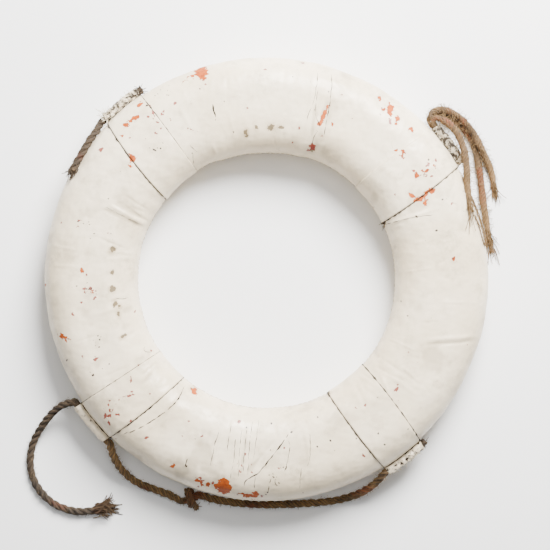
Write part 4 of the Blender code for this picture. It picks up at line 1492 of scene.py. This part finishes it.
def surface_line(points, spacing, sink, seed, wander=0.4):
    """A line on the upper face through points given by angle and radius, sunk so far and not quite smooth."""
    flat = smooth_line([(*plan_point(angle, radius), 0.0) for angle, radius in points], spacing)
    shift = np.stack(
        [soft_noise(flat, 0.011, seed), soft_noise(flat, 0.009, seed + 1), 0 * flat[:, 0]], axis=1
    )
    flat = flat + shift * wander * MM
    turns = np.arctan2(flat[:, 1], flat[:, 0])
    across = np.hypot(flat[:, 0], flat[:, 1]) - TUBE_RADIUS
    half = SECTION_LENGTHS <= PERIMETER / 2
    lengths = np.interp(across, SECTION_PLACES[half, 0], SECTION_LENGTHS[half])
    across, up, out, rise = section_at(lengths)
    places = ring_places(turns, across, up)
    lift = canvas_relief(turns, across, places) - sink * MM
    return places + np.stack([out * np.cos(turns), out * np.sin(turns), rise], axis=1) * lift[:, None]


# The cracks' width, and how deep their middles lie, as shares of the listed half widths
CRACK_SCALE, CRACK_SINK = 1.9, 0.62


def build_cracks(finish):
    bundle = Bundle()
    for count, (width, points) in enumerate(PAINT_CRACKS):
        line = surface_line(points, 0.0022, width * CRACK_SINK, 100 + 2 * count)
        share = np.linspace(0, 1, len(line))
        rough = 0.75 + 0.4 * soft_noise(line, 0.012, 300 + count)
        ends = smooth_step(share, 0, 0.12) * (1 - smooth_step(share, 0.86, 1))
        bundle.add(line, np.maximum(CRACK_SCALE * width * MM * rough * (0.25 + 0.75 * ends), 0.05 * MM), 6)
    return bundle.piece("paint_cracks", finish)


def build_scratch(finish):
    bundle = Bundle()
    line = surface_line(RED_SCRATCH, 0.002, 0.1, 400)
    rough = 0.8 + 0.4 * soft_noise(line, 0.01, 401)
    bundle.add(line, np.maximum(0.5 * MM * rough, 0.06 * MM), 6)
    return bundle.piece("red_scratch", finish)


# How dark and wide the dirt is along each band's two edges, as half the width at the rim and at the hole
EDGE_DIRT = {
    "upper_right": ((0.95, 1.05), (0.0, 0.0)),
    "upper_left": ((1.25, 0.25), (1.05, 0.85)),
    "lower_left": ((0.85, 0.3), (1.2, 0.9)),
    "lower_right": ((0.8, 0.95), (1.25, 1.0)),
}


def build_band_edge_grime_and_neck_shade(place, moved, finish):
    """Dark dirt caught along a band's edges, uneven and in places gone, and dark lines of painted shade in
    the crease at the sleeve's neck.
    """
    bundle = Bundle()
    for row, (at_rim, at_hole), seed in ((0, EDGE_DIRT[place][0], 500), (-1, EDGE_DIRT[place][1], 520)):
        if at_rim == 0:
            continue
        under = FACE_POINTS + SLEEVE_POINTS
        for half in (slice(3, FACE_POINTS), slice(under, under + FACE_POINTS - 3)):
            line = moved[row, half]
            inward = moved[1 if row == 0 else -2, half] - line
            away = inward / np.linalg.norm(inward, axis=1)[:, None]
            share = smooth_step(
                (OUTER_RADIUS - np.hypot(line[:, 0], line[:, 1])), 0, OUTER_RADIUS - HOLE_RADIUS
            )
            width = (at_rim + (at_hole - at_rim) * share) * MM
            rough = np.clip(0.85 + 0.6 * soft_noise(line, 0.012, seed + len(place)), 0.25, 1.7)
            sunk = line - away * 0.5 * MM
            sunk[:, 2] -= np.sign(line[:, 2] - MID_HEIGHT) * 0.75 * MM
            bundle.add(sunk, width * rough, 6)
    # Dark lines in the crease where the sleeve meets the ring, above and below: painted shade
    for up in (NECK_SHADE_HEIGHT, -NECK_SHADE_HEIGHT):
        line = neck_line(place, up)
        rough = np.clip(0.9 + 0.6 * soft_noise(line, 0.012, 540 + len(place)), 0.3, 1.7)
        bundle.add(line, 0.8 * MM * rough, 6)
    return bundle.piece(f"band_edge_grime_and_neck_shade_{place}", finish)


def neck_line(place, up):
    turn = math.radians(BAND_ANGLES[place])
    half = (BAND_WIDTH / 2 - 0.003) / OUTER_RADIUS
    turns = np.linspace(turn - half, turn + half, 30)
    return ring_places(turns, OUTER_RADIUS + 0.0024 - TUBE_RADIUS, up)


def seam_line(start, end):
    """The seam where the cover's edges meet, inside the hole."""
    turns = np.radians(np.linspace(start + 0.4, end - 0.4, 160))
    across = np.full(len(turns), -HALF_WIDTH)
    places = ring_places(turns, across, 0.0)
    relief = canvas_relief(turns, across, places) + 0.15 * MM
    return places - np.stack([np.cos(turns), np.sin(turns), 0 * turns], axis=1) * relief[:, None]


# ---- floor and lights


def add_floor():
    mesh = bpy.data.meshes.new("floor")
    reach = 6.0
    mesh.from_pydata(
        [(-reach, -reach, 0), (reach, -reach, 0), (reach, reach, 0), (-reach, reach, 0)], [], [(0, 1, 2, 3)]
    )
    add_object("floor", mesh, floor_finish())


# Each light's place, aim, size, power and tint
LIGHTS = {
    "key": ((0.75, 1.9, 1.95), (0, 0.05, 0), 1.6, 500.0, (1.0, 0.985, 0.96)),
    "overhead": ((-0.2, 0.7, 3.6), (0, 0, 0), 3.4, 78.0, (1.0, 1.0, 1.0)),
}
STUDIO_TINT = (1.0, 0.975, 0.94, 1.0)
STUDIO_STRENGTH = 0.13


def add_light(name, place, aim, size, power, tint):
    light = bpy.data.lights.new(name, "AREA")
    light.shape = "DISK"
    light.size = size
    light.energy = power
    light.color = tint
    holder = bpy.data.objects.new(name, light)
    holder.location = place
    holder.rotation_euler = (Vector(aim) - Vector(place)).to_track_quat("-Z", "Y").to_euler()
    bpy.context.scene.collection.objects.link(holder)


def add_lights():
    for name, facts in LIGHTS.items():
        add_light(name, *facts)
    world = bpy.data.worlds.new("studio")
    world.use_nodes = True
    background = world.node_tree.nodes["Background"]
    background.inputs["Color"].default_value = STUDIO_TINT
    background.inputs["Strength"].default_value = STUDIO_STRENGTH
    bpy.context.scene.world = world


# ---- all together


# Rope colours: the pale and tan yarns, dirt, rust, and frayed ends
DIRT_BROWN, RUST, FRAYED = rgb(0.055, 0.033, 0.015), rgb(0.20, 0.05, 0.014), rgb(0.20, 0.118, 0.045)
MANILA = (rgb(0.30, 0.18, 0.066), rgb(0.16, 0.088, 0.029), DIRT_BROWN, RUST, FRAYED)
KNOT_MANILA = (rgb(0.27, 0.155, 0.06), rgb(0.15, 0.08, 0.028), DIRT_BROWN, rgb(0.15, 0.055, 0.018), FRAYED)
TARRED_MANILA = (
    rgb(0.062, 0.037, 0.016), rgb(0.03, 0.018, 0.008), rgb(0.013, 0.009, 0.006),
    rgb(0.07, 0.02, 0.007), rgb(0.09, 0.054, 0.022),
)
LOOSE_STRAND = (rgb(0.20, 0.112, 0.041), rgb(0.08, 0.042, 0.015), DIRT_BROWN, RUST, FRAYED)
RUSTY_STRAND = (rgb(0.21, 0.118, 0.042), rgb(0.085, 0.044, 0.016), DIRT_BROWN, RUST, FRAYED)


def make_looks():
    weave, grime, ragged, lay = weave_group(), grime_group(), torn_edge_group(), lay_group()
    paint = paint_group(weave, grime, ragged)
    return {
        "cover": cover_finish(paint),
        "band": band_finish(paint),
        "rope": rope_finish("manila_finish", lay, MANILA, 0.05),
        "knot": rope_finish("knot_manila_finish", lay, KNOT_MANILA, 0.03),
        "dark_rope": rope_finish("tarred_manila_finish", lay, TARRED_MANILA, 0.05),
        "strand": rope_finish("loose_strand_finish", lay, LOOSE_STRAND, 0.08, 3.0),
        "rust_strand": rope_finish("rusty_strand_finish", lay, RUSTY_STRAND, 0.12, 3.0),
        "fibre": fibre_finish("pale_fibre_finish", rgb(0.14, 0.08, 0.032), rgb(0.27, 0.17, 0.074)),
        "dark_fibre": fibre_finish("dark_fibre_finish", rgb(0.05, 0.034, 0.02), rgb(0.17, 0.115, 0.06)),
        "torn_canvas": fibre_finish("torn_canvas_finish", rgb(0.44, 0.37, 0.26), rgb(0.70, 0.64, 0.52)),
        "twine": thread_finish(),
        "crack": crack_finish(),
        "scratch": scratch_finish(),
        "cork": cork_finish(),
        "peg": peg_finish(),
    }


def place_piece(piece):
    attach(piece, "root")


def dress_core(looks):
    for name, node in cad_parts.items():
        for start, look in (("cork_block", "cork"), ("wooden_peg", "peg")):
            if name.startswith(start):
                node.data.materials.clear()
                node.data.materials.append(looks[look])


# Each cord's diameter, far end, slot, the look of its loose fibres, and the CAD nodes it stands for
TAIL_FACTS = (ROPE_DIAMETER, "bare", "dark_rope", "dark_fibre")
STRAND_FACTS = (STRAND_DIAMETER, "bare", "loose_strands", "fibre")
CORD_FACTS = {
    "rope_tail_upper_left": (*TAIL_FACTS, ["rope_tail_upper_left"]),
    "rope_tail_lower_left": (*TAIL_FACTS, ["rope_tail_lower_left"]),
    "rope_span": (ROPE_DIAMETER, "object", "rope", "fibre", ["rope_span_to_knot", "rope_span_from_knot"]),
    "rope_strand_outer": (*STRAND_FACTS, ["rope_strand_outer"]),
    "rope_strand_middle": (*STRAND_FACTS, ["rope_strand_middle"]),
    "rope_strand_inner": (*STRAND_FACTS, ["rope_strand_inner"]),
}
# Loose fibres: how many per square metre, and how long, on laid rope and on the opened strands
ROPE_FUZZ, STRAND_FUZZ = (34000.0, 0.0046), (60000.0, 0.0085)
FIBRE_THICKNESS = 0.00036


def add_cords(looks, fibres):
    """Every rope, with its fibres, frayed ends and knot."""
    ropes = build_ropes(looks)
    strands = build_strands(looks)
    frays = build_frays(looks, ropes, strands)
    yarn_loop = build_yarn_loop(looks)
    held = build_held_ropes(looks)
    knot = build_knot(looks)
    stubs = build_stub_frays(looks)
    place_piece(knot)
    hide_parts("rope_knot")
    place_piece(yarn_loop)
    for seed, (name, (rope, line)) in enumerate({**ropes, **strands}.items()):
        diameter, far_end, slot, fibre, nodes = CORD_FACTS[name]
        density, length = STRAND_FUZZ if name in strands else ROPE_FUZZ
        hairs = grow(
            "fibres_on_" + name, rope, fibres, Density=density, Length=length, Thickness=FIBRE_THICKNESS,
            Tilt=1.25, Seed=seed, Material=looks[fibre],
        )
        place_piece(rope)
        place_piece(hairs)
        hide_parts(*nodes)
        if name in frays:
            place_piece(frays[name])
    for place, rope in held.items():
        place_piece(rope)
        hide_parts(f"rope_held_{place}")
    for stub in stubs:
        place_piece(stub)


def sew(name, line, stitches, finish, **values):
    """A row of stitches along a line."""
    guide = line_guide("stitch_guide", line)
    row = grow(name, guide, stitches, Material=finish, **values)
    drop(guide)
    return row


def add_covers(looks, stitches):
    for name, (start, end) in COVERS.items():
        cover = build_cover(name, start, end, looks["cover"])
        seam = sew(
            f"seam_stitches_{name}", seam_line(start, end), stitches, looks["twine"], Pitch=0.0085,
            Length=0.0078, Thickness=0.0013, Slant=0.0,
        )
        for piece in (cover, seam):
            place_piece(piece)
        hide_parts(f"canvas_cover_{name}")


def add_bands(looks, stitches):
    for place in BAND_ANGLES:
        band, moved = build_band(place, looks["band"])
        dirt = build_band_edge_grime_and_neck_shade(place, moved, looks["crack"])
        rows = [
            sew(
                f"neck_stitches_{label}_{place}", neck_line(place, up), stitches, looks["twine"],
                Pitch=0.0062, Length=0.0046, Thickness=0.0011, Slant=0.35,
            )
            for label, up in (("upper", NECK_STITCH_HEIGHT), ("lower", -NECK_STITCH_HEIGHT))
        ]
        for piece in (band, dirt, *rows):
            place_piece(piece)
        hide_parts(f"canvas_band_{place}")


def build_all():
    add_camera()
    looks = make_looks()
    fibres, stitches = fibres_tree(), stitches_tree()
    dress_core(looks)
    add_cords(looks, fibres)
    add_covers(looks, stitches)
    add_bands(looks, stitches)
    for piece in (build_cracks(looks["crack"]), build_scratch(looks["scratch"])):
        place_piece(piece)
    for piece in (*build_torn_canvas(looks, fibres), *build_tufts(looks)):
        place_piece(piece)
    add_floor()
    add_lights()


build_all()
